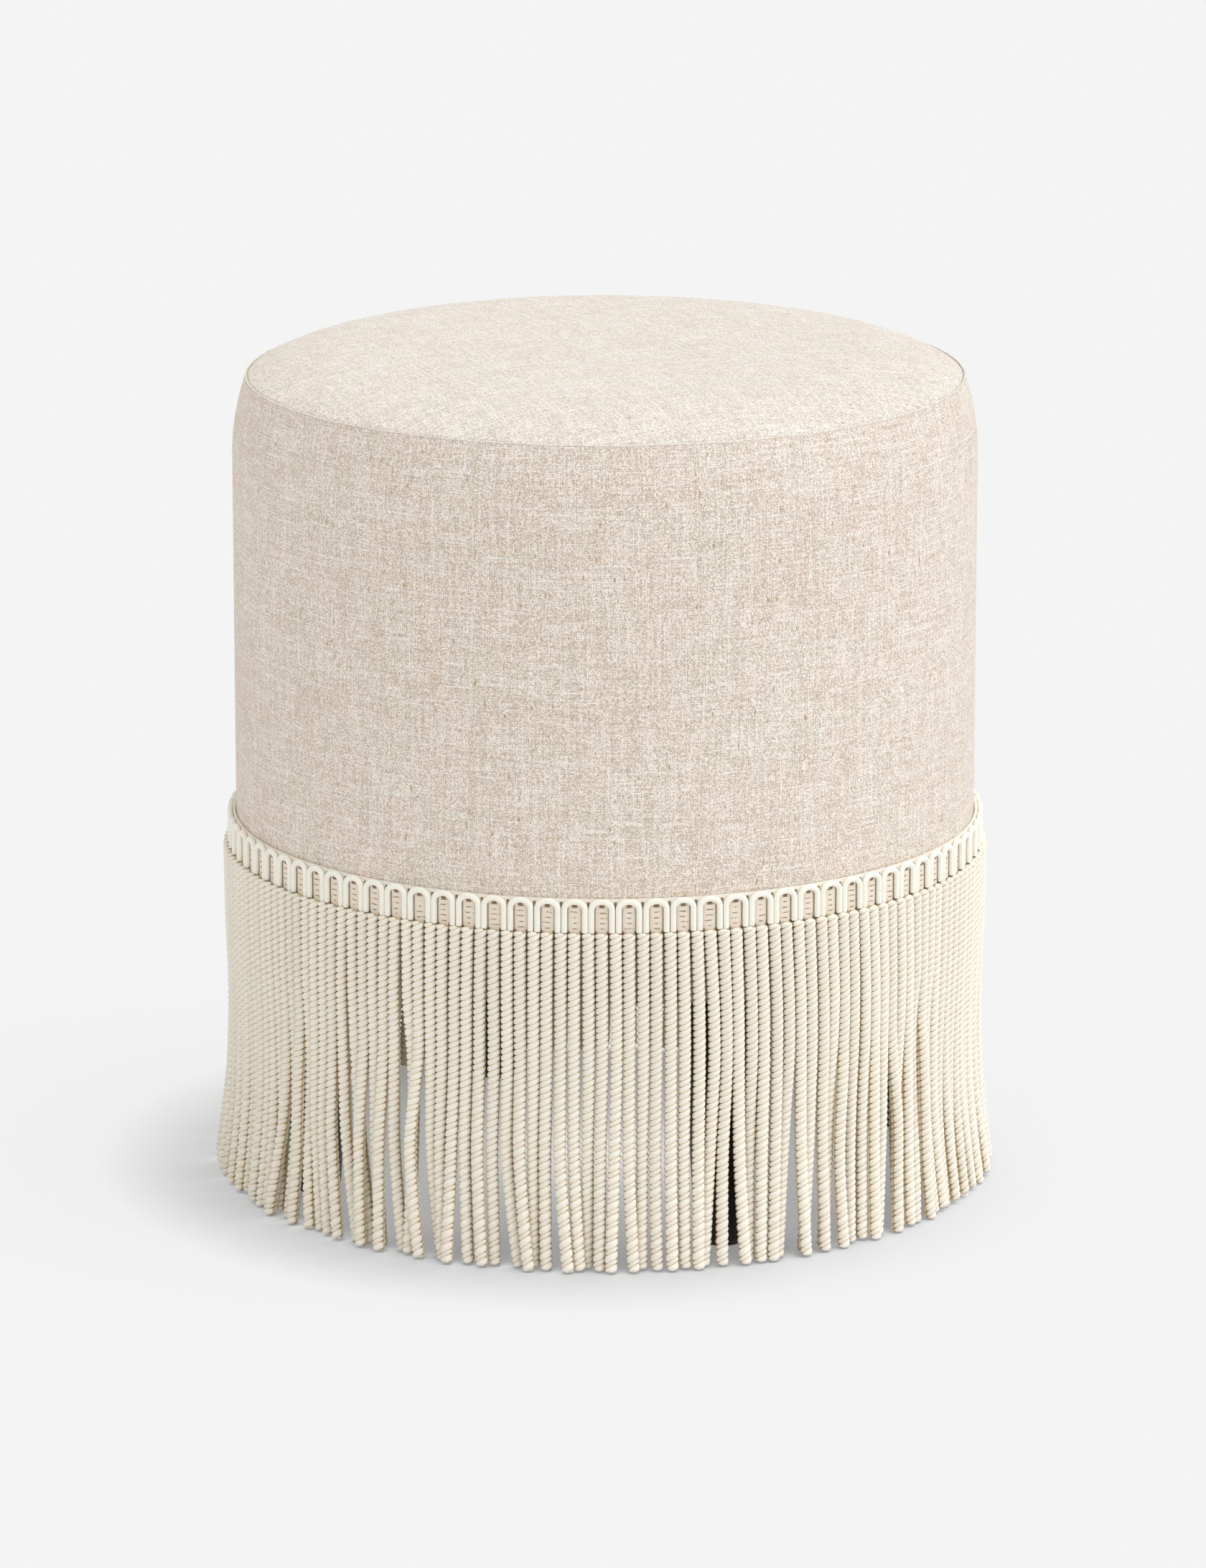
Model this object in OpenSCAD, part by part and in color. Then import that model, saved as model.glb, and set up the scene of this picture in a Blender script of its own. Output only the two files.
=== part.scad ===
// Round upholstered ottoman with a bullion fringe that hangs to the floor and hides four turned legs.
// Millimetres, +Z up, with the origin on the floor at the middle of the stool.

/* [Drum] */
// Outside diameter of the covered drum
body_d = 406; // [396:1:430]
// Length of the upright posts between the two boards
post_len = 225; // [200:1:250]
// Side of a square post
post_w = 34; // [28:1:40]
// From the edge of the boards in to the middle of a post
post_inset = 28; // [26:1:40]
// Thickness of the round base board
base_board_t = 18; // [15:1:22]
// Thickness of the round seat board
seat_board_t = 15; // [12:1:20]
// Thickness of the hardboard bent round the boards
wall_t = 3; // [2:0.5:4]
// Width of the butt joint where the ends of the hardboard meet
wall_joint = 1; // [0.5:0.5:3]

/* [Upholstery] */
// Thickness of the woven cover
cover_t = 1; // [0.6:0.1:1.5]
// Thickness of the foam sheet round the drum
side_pad_t = 6; // [4:0.5:9]
// Thickness of the wadding over the seat foam
batting_t = 6; // [4:0.5:9]
// Height of the seat foam at its rim
seat_foam_h = 34.3; // [28:0.1:45]
// How far the seat rises from its seam to its middle
crown_rise = 18.5; // [10:0.5:30]
// How flat the middle of the seat is, where 2 is a plain dome
crown_power = 5.5; // [2:0.5:8]
// How far the seam lies in from the side of the drum
seam_inset = 7.6; // [4:0.2:14]
// How square the shoulder below the seam is
shoulder_power = 1.9; // [1.5:0.1:3]
// Width of the cover's hem under the base board
hem_w = 18; // [14:1:24]
// Thickness of the dust cover
dust_cover_t = 0.6; // [0.4:0.1:1]
// From the edge of the drum in to the edge of the dust cover
dust_cover_inset = 12; // [10:1:13]

/* [Fringe] */
// Length of the cords below their header
fringe_drop = 180; // [170:1:190]
// Diameter of a twisted cord
cord_d = 6.6; // [5:0.1:7.6]
// Least space between two cords at the header
cord_gap = 0.5; // [0.4:0.1:1.5]
// Space left between cords where their ends bunch together
bunch_gap = 0.2; // [0.2:0.1:0.4]
// How far the cords swing out at the floor
cord_flare = 3; // [0:0.5:8]
// Height of the lowest cord end above the floor
end_gap = 1.5; // [1:0.5:6]
// How much the cord ends differ in height
end_wave = 3.5; // [0:0.5:8]
// Height of the rounded end of a cord
cord_tip_h = 2; // [1:0.5:4]
// Height of the woven tape that carries the loops
tape_h = 19.5; // [16:0.5:24]
// Thickness of the woven tape
tape_t = 2; // [1:0.2:3]
// Height of the woven rib that the cords hang from
rib_h = 3; // [2:0.5:4]
// Width of one loop of the header
loop_w = 13.2; // [10:0.2:14]
// Least space between two loops
loop_gap = 1.2; // [1:0.1:3]
// Height of a loop above the rib
loop_h = 18; // [14:0.5:22]
// Width of the cord that a loop is bent from
loop_cord_w = 3.1; // [2:0.1:4]
// How far a loop stands off the tape
loop_t = 3.6; // [2:0.1:5]

/* [Legs] */
// Length of a turned leg without its glide
leg_h = 138.4; // [125:0.1:150]
// Diameter of a leg at its top
leg_top_d = 46; // [40:1:48]
// Diameter of a leg at its foot
leg_foot_d = 30; // [26:1:36]
// From the side of the drum in to the middle of a leg
leg_inset = 31; // [30:1:50]
// Width of the bevels on a leg's end grain
leg_bevel = 1; // [0.5:0.5:2]
// Diameter of a nail-on glide
glide_d = 22; // [16:1:24]
// Thickness of a glide
glide_t = 3; // [2:0.5:5]
// Diameter of a glide's nail
glide_nail_d = 2.4; // [1.6:0.2:3]
// Length of a glide's nail
glide_nail_len = 14; // [10:1:20]

/* [Fasteners] */
// Diameter of the hanger bolts that join the legs to the base board
bolt_d = 8; // [6:1:8]
// How deep a hanger bolt goes into its leg
bolt_in_leg = 26; // [20:1:40]
// Outside diameter of a T-nut's barrel
tnut_barrel_d = 10; // [9.5:0.5:12]
// Length of a T-nut's barrel
tnut_barrel_h = 12; // [8:1:14]
// Diameter of a T-nut's flange
tnut_flange_d = 22; // [18:1:26]
// Thickness of a T-nut's flange
tnut_flange_t = 1.5; // [1:0.5:2]
// Diameter of the screws that hold the posts
screw_d = 4.5; // [3.5:0.5:6]
// Diameter of a screw's countersunk head
screw_head_d = 9; // [8:0.5:12]
// Length of a screw
screw_len = 50; // [40:5:60]
// Length of a screw's point
screw_point = 4; // [2:1:6]
// Thickness of the staple wire
staple_wire = 0.6; // [0.5:0.1:0.8]
// Width of a staple's crown
staple_crown = 10; // [8:1:12]
// Length of a staple's legs
staple_leg = 9; // [8:1:10]

/* [Fits] */
// Space between two soft layers or bent sheets
layer_gap = 0.3; // [0.3:0.05:0.5]
// Space round a fastener in its hole
hole_gap = 0.1; // [0.05:0.05:0.2]

/* [Hidden] */
$fn = 32;
round_fn = 144;

// Counts of the pieces that have a node or a place of their own
leg_count = 4;
post_count = 6;
slice_count = 18;
wall_staple_count = 12;
hem_staple_count = 24;
dust_staples_between_legs = 6;
crown_steps = 14;
shoulder_steps = 8;

// Radii from the cover inwards
body_r = body_d / 2;
seam_r = body_r - seam_inset;
pad_out_r = body_r - cover_t - layer_gap;
pad_in_r = pad_out_r - side_pad_t;
wall_out_r = pad_in_r - staple_wire - 2 * hole_gap;
wall_in_r = wall_out_r - wall_t;
board_r = wall_in_r - layer_gap;
hem_in_r = body_r - cover_t - hem_w;
leg_ring_r = body_r - leg_inset;
post_ring_r = board_r - post_inset;
dust_cover_r = body_r - dust_cover_inset;

// Heights from the floor up
leg_top_z = glide_t + leg_h;
dust_top_z = leg_top_z + dust_cover_t;
hem_z = dust_top_z + staple_wire + hole_gap;
base_z = hem_z + cover_t;
base_top_z = base_z + base_board_t;
seat_board_z = base_top_z + post_len;
seat_top_z = seat_board_z + seat_board_t;
foam_in = cover_t + batting_t + 2 * layer_gap;
seam_z = seat_top_z + seat_foam_h + foam_in;
header_z = end_gap + fringe_drop;
rib_top_z = header_z + rib_h;

// Fringe radii and counts
tape_in_r = body_r + layer_gap;
tape_out_r = tape_in_r + tape_t;
rib_side = 0.3;
cord_ring_r = tape_in_r + 2 * rib_side + cord_d / 2;
rib_out_r = cord_ring_r + cord_d / 2 + rib_side;
slice_angle = 360 / slice_count;
slice_trim = 0.05;
loop_pitch_min = max(loop_w + loop_gap, 2 * (cord_d + cord_gap));
loops_per_slice = floor(2 * PI * cord_ring_r / slice_count / loop_pitch_min);
cords_per_slice = 2 * loops_per_slice;
cord_step = slice_angle / cords_per_slice;
loop_in_r = tape_out_r + layer_gap;
cord_root_z = header_z + rib_h / 2;
golden_turn = 137.5;

// Where the legs and the staples are
leg_start = 45;
wall_staple_start = 7.5;
hem_staple_r = hem_in_r + hem_w / 4;
dust_staple_inset = 6;
dust_staple_r = hem_in_r - dust_staple_inset;
staple_room = 2;
leg_shadow = asin((leg_top_d / 2 + staple_crown / 2 + staple_room) / leg_ring_r);

// Colours
linen = [0.86, 0.82, 0.76];
ivory = [0.90, 0.88, 0.80];
espresso = [0.09, 0.07, 0.07];
ply = [0.80, 0.68, 0.50];
pine = [0.86, 0.74, 0.54];
hardboard = [0.48, 0.34, 0.22];
foam_tone = [0.93, 0.90, 0.74];
wadding = [0.96, 0.96, 0.95];
cambric = [0.12, 0.12, 0.13];
zinc = [0.72, 0.73, 0.75];

// The seat's outline from its middle out to the seam, drawn in by the depth of a layer below the cover
function crown_line(depth) =
    [for (i = [0 : crown_steps]) let (u = i / crown_steps)
        [(seam_r - depth) * u, seam_z - depth + crown_rise * (1 - pow(u, crown_power))]];

// The shoulder from the seam down to the straight side, drawn in the same way and ending at a height
function shoulder_line(depth, end_z) =
    [for (i = [0 : shoulder_steps]) let (t = i / shoulder_steps)
        [seam_r - depth + seam_inset * (1 - pow(1 - t, shoulder_power)),
         seam_z - depth - (seam_z - depth - end_z) * t]];

function reversed(list) = [for (i = [len(list) - 1 : -1 : 0]) list[i]];
function tail(list) = [for (i = [1 : len(list) - 1]) list[i]];

// Crown and shoulder in one line, without the seam point twice
function seat_line(depth, end_z) = concat(crown_line(depth), tail(shoulder_line(depth, end_z)));

// Around the middle: copies at equal turns
module ring(count, radius, start = 0) {
    for (i = [0 : count - 1])
        rotate([0, 0, start + i * 360 / count]) translate([radius, 0, 0]) children();
}

// One copy of a ring, by its number from 1
module ring_place(number, count, radius, start = 0) {
    rotate([0, 0, start + (number - 1) * 360 / count]) translate([radius, 0, 0]) children();
}

module top_cover() {
    color(linen) rotate_extrude($fn = round_fn)
        polygon(concat(crown_line(0), reversed(crown_line(cover_t))));
}

module side_cover() {
    outside = concat(shoulder_line(0, seat_top_z), [[body_r, hem_z], [hem_in_r, hem_z]]);
    inside = concat([[hem_in_r, base_z], [body_r - cover_t, base_z]],
                    reversed(shoulder_line(cover_t, seat_top_z)));
    color(linen) difference() {
        rotate_extrude($fn = round_fn) polygon(concat(outside, inside));
        hem_staple_holes();
    }
}

module seat_batting() {
    outer = cover_t + layer_gap;
    low_z = seat_top_z + layer_gap;
    color(wadding) rotate_extrude($fn = round_fn)
        polygon(concat(seat_line(outer, low_z), reversed(seat_line(outer + batting_t, low_z))));
}

module seat_foam() {
    color(foam_tone) rotate_extrude($fn = round_fn)
        polygon(concat(seat_line(foam_in, seat_top_z), [[0, seat_top_z]]));
}

// A plain ring between two radii
module sleeve(out_r, in_r, height) {
    difference() {
        cylinder(r = out_r, h = height, $fn = round_fn);
        translate([0, 0, -1]) cylinder(r = in_r, h = height + 2, $fn = round_fn);
    }
}

module side_padding() {
    color(foam_tone) translate([0, 0, base_z])
        sleeve(pad_out_r, pad_in_r, seat_top_z - base_z);
}

module drum_wall() {
    height = seat_top_z - base_z;
    color(hardboard) difference() {
        translate([0, 0, base_z]) sleeve(wall_out_r, wall_in_r, height);
        translate([-wall_joint / 2, 0, base_z - 1]) cube([wall_joint, body_r, height + 2]);
        wall_staple_holes();
    }
}

module seat_board() {
    color(ply) difference() {
        translate([0, 0, seat_board_z]) cylinder(r = board_r, h = seat_board_t, $fn = round_fn);
        ring(post_count, post_ring_r) translate([0, 0, seat_top_z]) screw(hole_gap);
        wall_staple_holes();
    }
}

module base_board() {
    color(ply) difference() {
        translate([0, 0, base_z]) cylinder(r = board_r, h = base_board_t, $fn = round_fn);
        ring(post_count, post_ring_r) translate([0, 0, base_z]) mirror([0, 0, 1]) screw(hole_gap);
        ring(leg_count, leg_ring_r, leg_start) translate([0, 0, base_z - 1])
            cylinder(d = tnut_barrel_d + 2 * hole_gap, h = base_board_t + 2);
        wall_staple_holes();
        hem_staple_holes();
        dust_staple_holes();
    }
}

module frame_post(number) {
    color(pine) ring_place(number, post_count, post_ring_r) difference() {
        translate([-post_w / 2, -post_w / 2, base_top_z]) cube([post_w, post_w, post_len]);
        translate([0, 0, seat_top_z]) screw(hole_gap);
        translate([0, 0, base_z]) mirror([0, 0, 1]) screw(hole_gap);
    }
}

// A countersunk screw pointing down from its head's top face, grown on every side for its hole
module screw(grow = 0) {
    head_r = screw_head_d / 2;
    shank_r = screw_d / 2;
    head_h = head_r - shank_r;
    rotate_extrude()
        polygon([[0, grow], [head_r + grow, grow], [head_r + grow, 0],
                 [shank_r + grow, -head_h], [shank_r + grow, screw_point - screw_len],
                 [0, -screw_len - grow]]);
}

module seat_board_screws() {
    color(zinc) ring(post_count, post_ring_r) translate([0, 0, seat_top_z]) screw();
}

module base_board_screws() {
    color(zinc) ring(post_count, post_ring_r)
        translate([0, 0, base_z]) mirror([0, 0, 1]) screw();
}

// A staple seen from above its crown: the legs point along -X, and the crown lies along Y
module staple() {
    half = staple_crown / 2;
    translate([0, 0, -staple_wire / 2]) linear_extrude(staple_wire)
        polygon([[0, -half], [staple_wire, -half], [staple_wire, half], [0, half],
                 [-staple_leg, half], [-staple_leg, half - staple_wire],
                 [0, half - staple_wire], [0, staple_wire - half],
                 [-staple_leg, staple_wire - half], [-staple_leg, -half]]);
}

// The two holes that a staple's legs make
module staple_holes() {
    side = staple_wire + 2 * hole_gap;
    for (way = [-1, 1])
        translate([-staple_leg - hole_gap, way * (staple_crown - staple_wire) / 2 - side / 2,
                   -side / 2])
            cube([staple_leg + 2 * hole_gap, side, side]);
}

module wall_staple_places() {
    for (z = [base_z + base_board_t / 2, seat_board_z + seat_board_t / 2])
        ring(wall_staple_count, wall_out_r + hole_gap, wall_staple_start)
            translate([0, 0, z]) children();
}

module hem_staple_places() {
    ring(hem_staple_count, hem_staple_r) translate([0, 0, hem_z]) rotate([0, 90, 0]) children();
}

module dust_staple_places() {
    spread = 90 - 2 * leg_shadow;
    for (side = [0 : leg_count - 1], i = [0 : dust_staples_between_legs - 1])
        rotate([0, 0, side * 90 - spread / 2 + i * spread / (dust_staples_between_legs - 1)])
            translate([dust_staple_r, 0, leg_top_z]) rotate([0, 90, 0]) children();
}

module wall_staple_holes() { wall_staple_places() staple_holes(); }
module hem_staple_holes() { hem_staple_places() staple_holes(); }
module dust_staple_holes() { dust_staple_places() staple_holes(); }

module wall_staples() { color(zinc) wall_staple_places() staple(); }
module hem_staples() { color(zinc) hem_staple_places() staple(); }
module dust_cover_staples() { color(zinc) dust_staple_places() staple(); }

module dust_cover() {
    color(cambric) difference() {
        translate([0, 0, leg_top_z]) cylinder(r = dust_cover_r, h = dust_cover_t, $fn = round_fn);
        ring(leg_count, leg_ring_r, leg_start) translate([0, 0, leg_top_z - 1])
            cylinder(d = bolt_d + 2 * layer_gap, h = dust_cover_t + 2);
        dust_staple_holes();
    }
}

module leg(number) {
    top_r = leg_top_d / 2;
    foot_r = leg_foot_d / 2;
    color(espresso) ring_place(number, leg_count, leg_ring_r, leg_start) difference() {
        rotate_extrude($fn = 64)
            polygon([[0, glide_t], [foot_r - leg_bevel, glide_t], [foot_r, glide_t + leg_bevel],
                     [top_r, leg_top_z - leg_bevel], [top_r - leg_bevel, leg_top_z],
                     [0, leg_top_z]]);
        translate([0, 0, leg_top_z - bolt_in_leg - hole_gap])
            cylinder(d = bolt_d + 2 * hole_gap, h = bolt_in_leg + 1);
        translate([0, 0, glide_t - 1])
            cylinder(d = glide_nail_d + 2 * hole_gap, h = glide_nail_len + hole_gap + 1);
    }
}

module leg_glide(number) {
    glide_r = glide_d / 2;
    nail_r = glide_nail_d / 2;
    edge = glide_t / 3;
    color(espresso) ring_place(number, leg_count, leg_ring_r, leg_start) rotate_extrude()
        polygon([[0, 0], [glide_r - edge, 0], [glide_r, edge], [glide_r, glide_t],
                 [nail_r, glide_t], [nail_r, glide_t + glide_nail_len - nail_r],
                 [0, glide_t + glide_nail_len]]);
}

module hanger_bolts() {
    bolt_end_z = base_top_z + tnut_flange_t;
    color(zinc) ring(leg_count, leg_ring_r, leg_start)
        translate([0, 0, leg_top_z - bolt_in_leg])
            cylinder(d = bolt_d, h = bolt_end_z - leg_top_z + bolt_in_leg);
}

module t_nuts() {
    color(zinc) ring(leg_count, leg_ring_r, leg_start) difference() {
        union() {
            translate([0, 0, base_top_z]) cylinder(d = tnut_flange_d, h = tnut_flange_t);
            translate([0, 0, base_top_z - tnut_barrel_h])
                cylinder(d = tnut_barrel_d, h = tnut_barrel_h);
        }
        translate([0, 0, base_top_z - tnut_barrel_h - 1])
            cylinder(d = bolt_d + 2 * hole_gap, h = tnut_barrel_h + tnut_flange_t + 2);
    }
}

// One loop of the header, bent from a flattened cord, standing on the rib
module header_loop() {
    leg_l = loop_h - loop_w / 2;
    in_w = loop_w - 2 * loop_cord_w;
    translate([0, 0, rib_top_z]) rotate([90, 0, 90]) linear_extrude(loop_t) difference() {
        union() {
            translate([0, leg_l]) circle(d = loop_w);
            translate([-loop_w / 2, 0]) square([loop_w, leg_l]);
        }
        translate([0, leg_l]) circle(d = in_w);
        translate([-in_w / 2, -1]) square([in_w, leg_l + 1]);
    }
}

// A loop stands over every other cord
module header_loops() {
    loop_count = loops_per_slice * slice_count;
    color(ivory) ring(loop_count, loop_in_r, cord_step / 2) header_loop();
}

// How high a cord ends, which differs a little from cord to cord
function cord_end_z(number) = end_gap + end_wave * (0.5 + 0.5 * sin(number * golden_turn));

// How far the ends in a slice draw together, as a share of the room between them
function bunching(slice) = 0.6 + 0.4 * sin(slice * golden_turn);

// A cord pointing down from its root
module cord(length) {
    r = cord_d / 2;
    rotate_extrude($fn = 24)
        polygon([[0, 0], [r, 0], [r, cord_tip_h - length], [0.8 * r, 0.4 * cord_tip_h - length],
                 [0.4 * r, -length], [0, -length]]);
}

// A slice of the fringe: a piece of the woven header and the cords that hang from it
module fringe(number) {
    foot_room = 2 * PI * (cord_ring_r + cord_flare) / (slice_count * cords_per_slice)
                - cord_d - bunch_gap;
    draw_in = max(0, foot_room) * bunching(number);
    middle = (cords_per_slice - 1) / 2;
    color(ivory) rotate([0, 0, (number - 1) * slice_angle]) {
        rotate([0, 0, slice_trim / 2])
            rotate_extrude(angle = slice_angle - slice_trim, $fn = round_fn)
                polygon([[tape_in_r, header_z], [rib_out_r, header_z], [rib_out_r, rib_top_z],
                         [tape_out_r, rib_top_z], [tape_out_r, header_z + tape_h],
                         [tape_in_r, header_z + tape_h]]);
        for (j = [0 : cords_per_slice - 1]) {
            length = cord_root_z - cord_end_z(number * cords_per_slice + j);
            across = (middle - j) * draw_in;
            rotate([0, 0, (j + 0.5) * cord_step]) translate([cord_ring_r, 0, cord_root_z])
                rotate([asin(across / length), -asin(cord_flare / length), 0]) cord(length);
        }
    }
}

top_cover();
side_cover();
seat_batting();
seat_foam();
side_padding();
drum_wall();
seat_board();
base_board();
frame_post(1);  // frame_post_1
frame_post(2);  // frame_post_2
frame_post(3);  // frame_post_3
frame_post(4);  // frame_post_4
frame_post(5);  // frame_post_5
frame_post(6);  // frame_post_6
seat_board_screws();
base_board_screws();
wall_staples();
hem_staples();
dust_cover();
dust_cover_staples();
leg(1);  // leg_1
leg(2);  // leg_2
leg(3);  // leg_3
leg(4);  // leg_4
leg_glide(1);  // leg_glide_1
leg_glide(2);  // leg_glide_2
leg_glide(3);  // leg_glide_3
leg_glide(4);  // leg_glide_4
hanger_bolts();
t_nuts();
header_loops();
fringe(1);  // fringe_01
fringe(2);  // fringe_02
fringe(3);  // fringe_03
fringe(4);  // fringe_04
fringe(5);  // fringe_05
fringe(6);  // fringe_06
fringe(7);  // fringe_07
fringe(8);  // fringe_08
fringe(9);  // fringe_09
fringe(10);  // fringe_10
fringe(11);  // fringe_11
fringe(12);  // fringe_12
fringe(13);  // fringe_13
fringe(14);  // fringe_14
fringe(15);  // fringe_15
fringe(16);  // fringe_16
fringe(17);  // fringe_17
fringe(18);  // fringe_18
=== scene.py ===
"""The looks of the round ottoman: woven covers, a looped header and twisted fringe cords."""
import math

import bmesh
import bpy
import numpy as np
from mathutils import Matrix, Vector


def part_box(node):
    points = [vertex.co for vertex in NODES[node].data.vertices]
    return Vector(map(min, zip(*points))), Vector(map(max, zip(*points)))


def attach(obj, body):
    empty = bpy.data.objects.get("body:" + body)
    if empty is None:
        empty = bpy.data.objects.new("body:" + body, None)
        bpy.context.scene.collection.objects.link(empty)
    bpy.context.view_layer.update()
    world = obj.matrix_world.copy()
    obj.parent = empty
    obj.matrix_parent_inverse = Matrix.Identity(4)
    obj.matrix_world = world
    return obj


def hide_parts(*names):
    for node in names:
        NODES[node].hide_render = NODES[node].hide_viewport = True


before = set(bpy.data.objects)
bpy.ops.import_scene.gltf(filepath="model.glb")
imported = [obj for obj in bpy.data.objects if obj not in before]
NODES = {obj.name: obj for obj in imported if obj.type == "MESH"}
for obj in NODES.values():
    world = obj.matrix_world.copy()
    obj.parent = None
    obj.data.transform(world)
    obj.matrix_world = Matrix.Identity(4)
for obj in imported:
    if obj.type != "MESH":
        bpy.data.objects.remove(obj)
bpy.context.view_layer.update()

MM = 0.001
TURN = 2 * math.pi

# Drum and seat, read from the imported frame
top_low, top_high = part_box("top_cover")
side_low, side_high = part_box("side_cover")
_, board_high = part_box("seat_board")
COVER_T = 1 * MM
SEAM_R = top_high.x
SEAM_Z = top_low.z + COVER_T
CROWN_RISE = top_high.z - SEAM_Z
# The crown is a broad dome and a fuller rim, in these shares
CROWN_SHARES = ((0.2, 2.2), (0.8, 7.0))
BODY_R = side_high.x
HEM_Z = side_low.z
HEM_W = 18 * MM
SEAT_TOP_Z = board_high.z
SHOULDER_POWER = 1.9
# The side panel's edge turns in at the seam and forms a bead. A painted highlight makes the panel paler as
# far as this from its edge
SEAM_HIGHLIGHT_W = 3.3 * MM

# Fringe, from the photo's proportions at the chosen size
LOOP_COUNT = 90
CORD_COUNT = 2 * LOOP_COUNT
SLICE_COUNT = 18
CORDS_PER_SLICE = CORD_COUNT // SLICE_COUNT
CORD_STEP = TURN / CORD_COUNT
FIRST_CORD = CORD_STEP / 2
CORD_R = 3.55 * MM
CORD_LEAD = 6.9 * MM
CORD_VALLEY = 1.0 * MM
CORD_TOP_Z = 184.0 * MM
HEADER_Z = 181.5 * MM
TAPE_TOP_Z = 201.8 * MM
TAPE_IN_R = BODY_R + 0.3 * MM
TAPE_OUT_R = TAPE_IN_R + 1.6 * MM
TAPE_RIB = 0.75 * MM
FIRST_LOOP = FIRST_CORD
LOOP_STEP = TURN / LOOP_COUNT
LOOP_PITCH = LOOP_STEP * TAPE_OUT_R
LOOP_CORD_W = 3.3 * MM
LOOP_CORD_DEPTH = 2.9 * MM
LOOP_W = 14.25 * MM
LOOP_RISE = 0.7 * MM
ARCH_IN_H = TAPE_TOP_Z + LOOP_RISE - LOOP_CORD_W - HEADER_Z
STITCH_PITCH = 2.95 * MM

# The camera stands in front of the fringe at this turn, and the photo was taken from there
CAMERA_AZIMUTH = math.radians(23.5)
CAMERA_ELEVATION = math.radians(14.21)
CAMERA_POLAR = CAMERA_AZIMUTH - math.pi / 2


# Node trees in few words

def put(node, key, value):
    """Sets a node's input, or links it where the value is a wire."""
    if isinstance(value, Wire):
        value.tree.links.new(value.socket, node.inputs[key])
    else:
        node.inputs[key].default_value = value


def new_node(tree, kind, inputs=None, **settings):
    node = tree.nodes.new(kind)
    for name, value in settings.items():
        setattr(node, name, value)
    for key, value in (inputs or {}).items():
        put(node, key, value)
    return node


def add(tree, kind, inputs=None, output=0, **settings):
    """Adds a node and gives back one of its outputs."""
    return Wire(tree, new_node(tree, kind, inputs, **settings).outputs[output])


def reckoned(operation, swapped=False):
    """A method for wires that adds one math node."""
    def method(self, *others):
        values = (*others, self) if swapped else (self, *others)
        return add(self.tree, "ShaderNodeMath", dict(enumerate(values)), operation=operation)
    return method


class Wire:
    """A node's output. Every sum with it adds a math node to its tree."""

    __add__ = __radd__ = reckoned("ADD")
    __sub__ = reckoned("SUBTRACT")
    __rsub__ = reckoned("SUBTRACT", swapped=True)
    __mul__ = __rmul__ = reckoned("MULTIPLY")
    __truediv__ = reckoned("DIVIDE")
    __rtruediv__ = reckoned("DIVIDE", swapped=True)
    __pow__ = reckoned("POWER")
    __abs__ = reckoned("ABSOLUTE")
    max = reckoned("MAXIMUM")
    min = reckoned("MINIMUM")
    floor = reckoned("FLOOR")
    fraction = reckoned("FRACT")
    modulo = reckoned("FLOORED_MODULO")
    pingpong = reckoned("PINGPONG")
    sin = reckoned("SINE")
    cos = reckoned("COSINE")
    sqrt = reckoned("SQRT")

    def __init__(self, tree, socket):
        self.tree = tree
        self.socket = socket


def tree_of(*values):
    """The tree of the first wire among some values."""
    return next(value.tree for value in values if isinstance(value, Wire))


def blend_of(share, low, high):
    """low where share is 0, high where it is 1, for numbers."""
    return (high - low) * share + low


def mixed(share, first, second, mode="MIX"):
    """A colour mix."""
    inputs = {0: share, 6: first, 7: second}
    return add(tree_of(*inputs.values()), "ShaderNodeMix", inputs, 2, data_type="RGBA", blend_type=mode)


def shaded(colour, level):
    """A colour made darker or lighter by a number."""
    return mixed(1.0, colour, join(level, level, level), "MULTIPLY")


def tinted(colour, share, first, second):
    """A colour with a tint that wanders between two."""
    return mixed(1.0, colour, mixed(share, first, second), "MULTIPLY")


def split(vector):
    node = new_node(vector.tree, "ShaderNodeSeparateXYZ", {0: vector})
    return [Wire(vector.tree, socket) for socket in node.outputs]


def join(x, y, z):
    return add(tree_of(x, y, z), "ShaderNodeCombineXYZ", {0: x, 1: y, 2: z})


def scaled(vector, factors):
    """A vector times three factors."""
    return add(vector.tree, "ShaderNodeVectorMath", {0: vector, 1: factors}, operation="MULTIPLY")


def length_of(vector):
    return add(vector.tree, "ShaderNodeVectorMath", {0: vector}, "Value", operation="LENGTH")


def noise(vector, scale, detail=2.0, roughness=0.5):
    inputs = {"Vector": vector, "Scale": scale, "Detail": detail, "Roughness": roughness}
    return add(vector.tree, "ShaderNodeTexNoise", inputs)


def ramp(value, low, high):
    """0 below low and 1 above high, with a smooth step between."""
    inputs = {"Value": value, "From Min": low, "From Max": high}
    return add(value.tree, "ShaderNodeMapRange", inputs, interpolation_type="SMOOTHSTEP")


def fade(value, low, high):
    """1 below low and 0 above high, with a smooth step between."""
    return 1.0 - ramp(value, low, high)


def from_middle(cells):
    """How far a number lies from the middle of its cell, in cells."""
    return abs(cells.fraction() - 0.5)


def group(kind, name, inputs, outputs):
    """A node group with named sockets, each given as its type and its name."""
    tree = bpy.data.node_groups.new(name, kind)
    for side, sockets in (("INPUT", inputs), ("OUTPUT", outputs)):
        for socket_type, label in sockets:
            tree.interface.new_socket(label, in_out=side, socket_type=socket_type)
    given = {socket.name: Wire(tree, socket) for socket in tree.nodes.new("NodeGroupInput").outputs}
    return tree, given, tree.nodes.new("NodeGroupOutput")


NUMBER, VECTOR, COLOUR = "NodeSocketFloat", "NodeSocketVector", "NodeSocketColor"
GEOMETRY, MATERIAL, COUNT = "NodeSocketGeometry", "NodeSocketMaterial", "NodeSocketInt"


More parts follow.
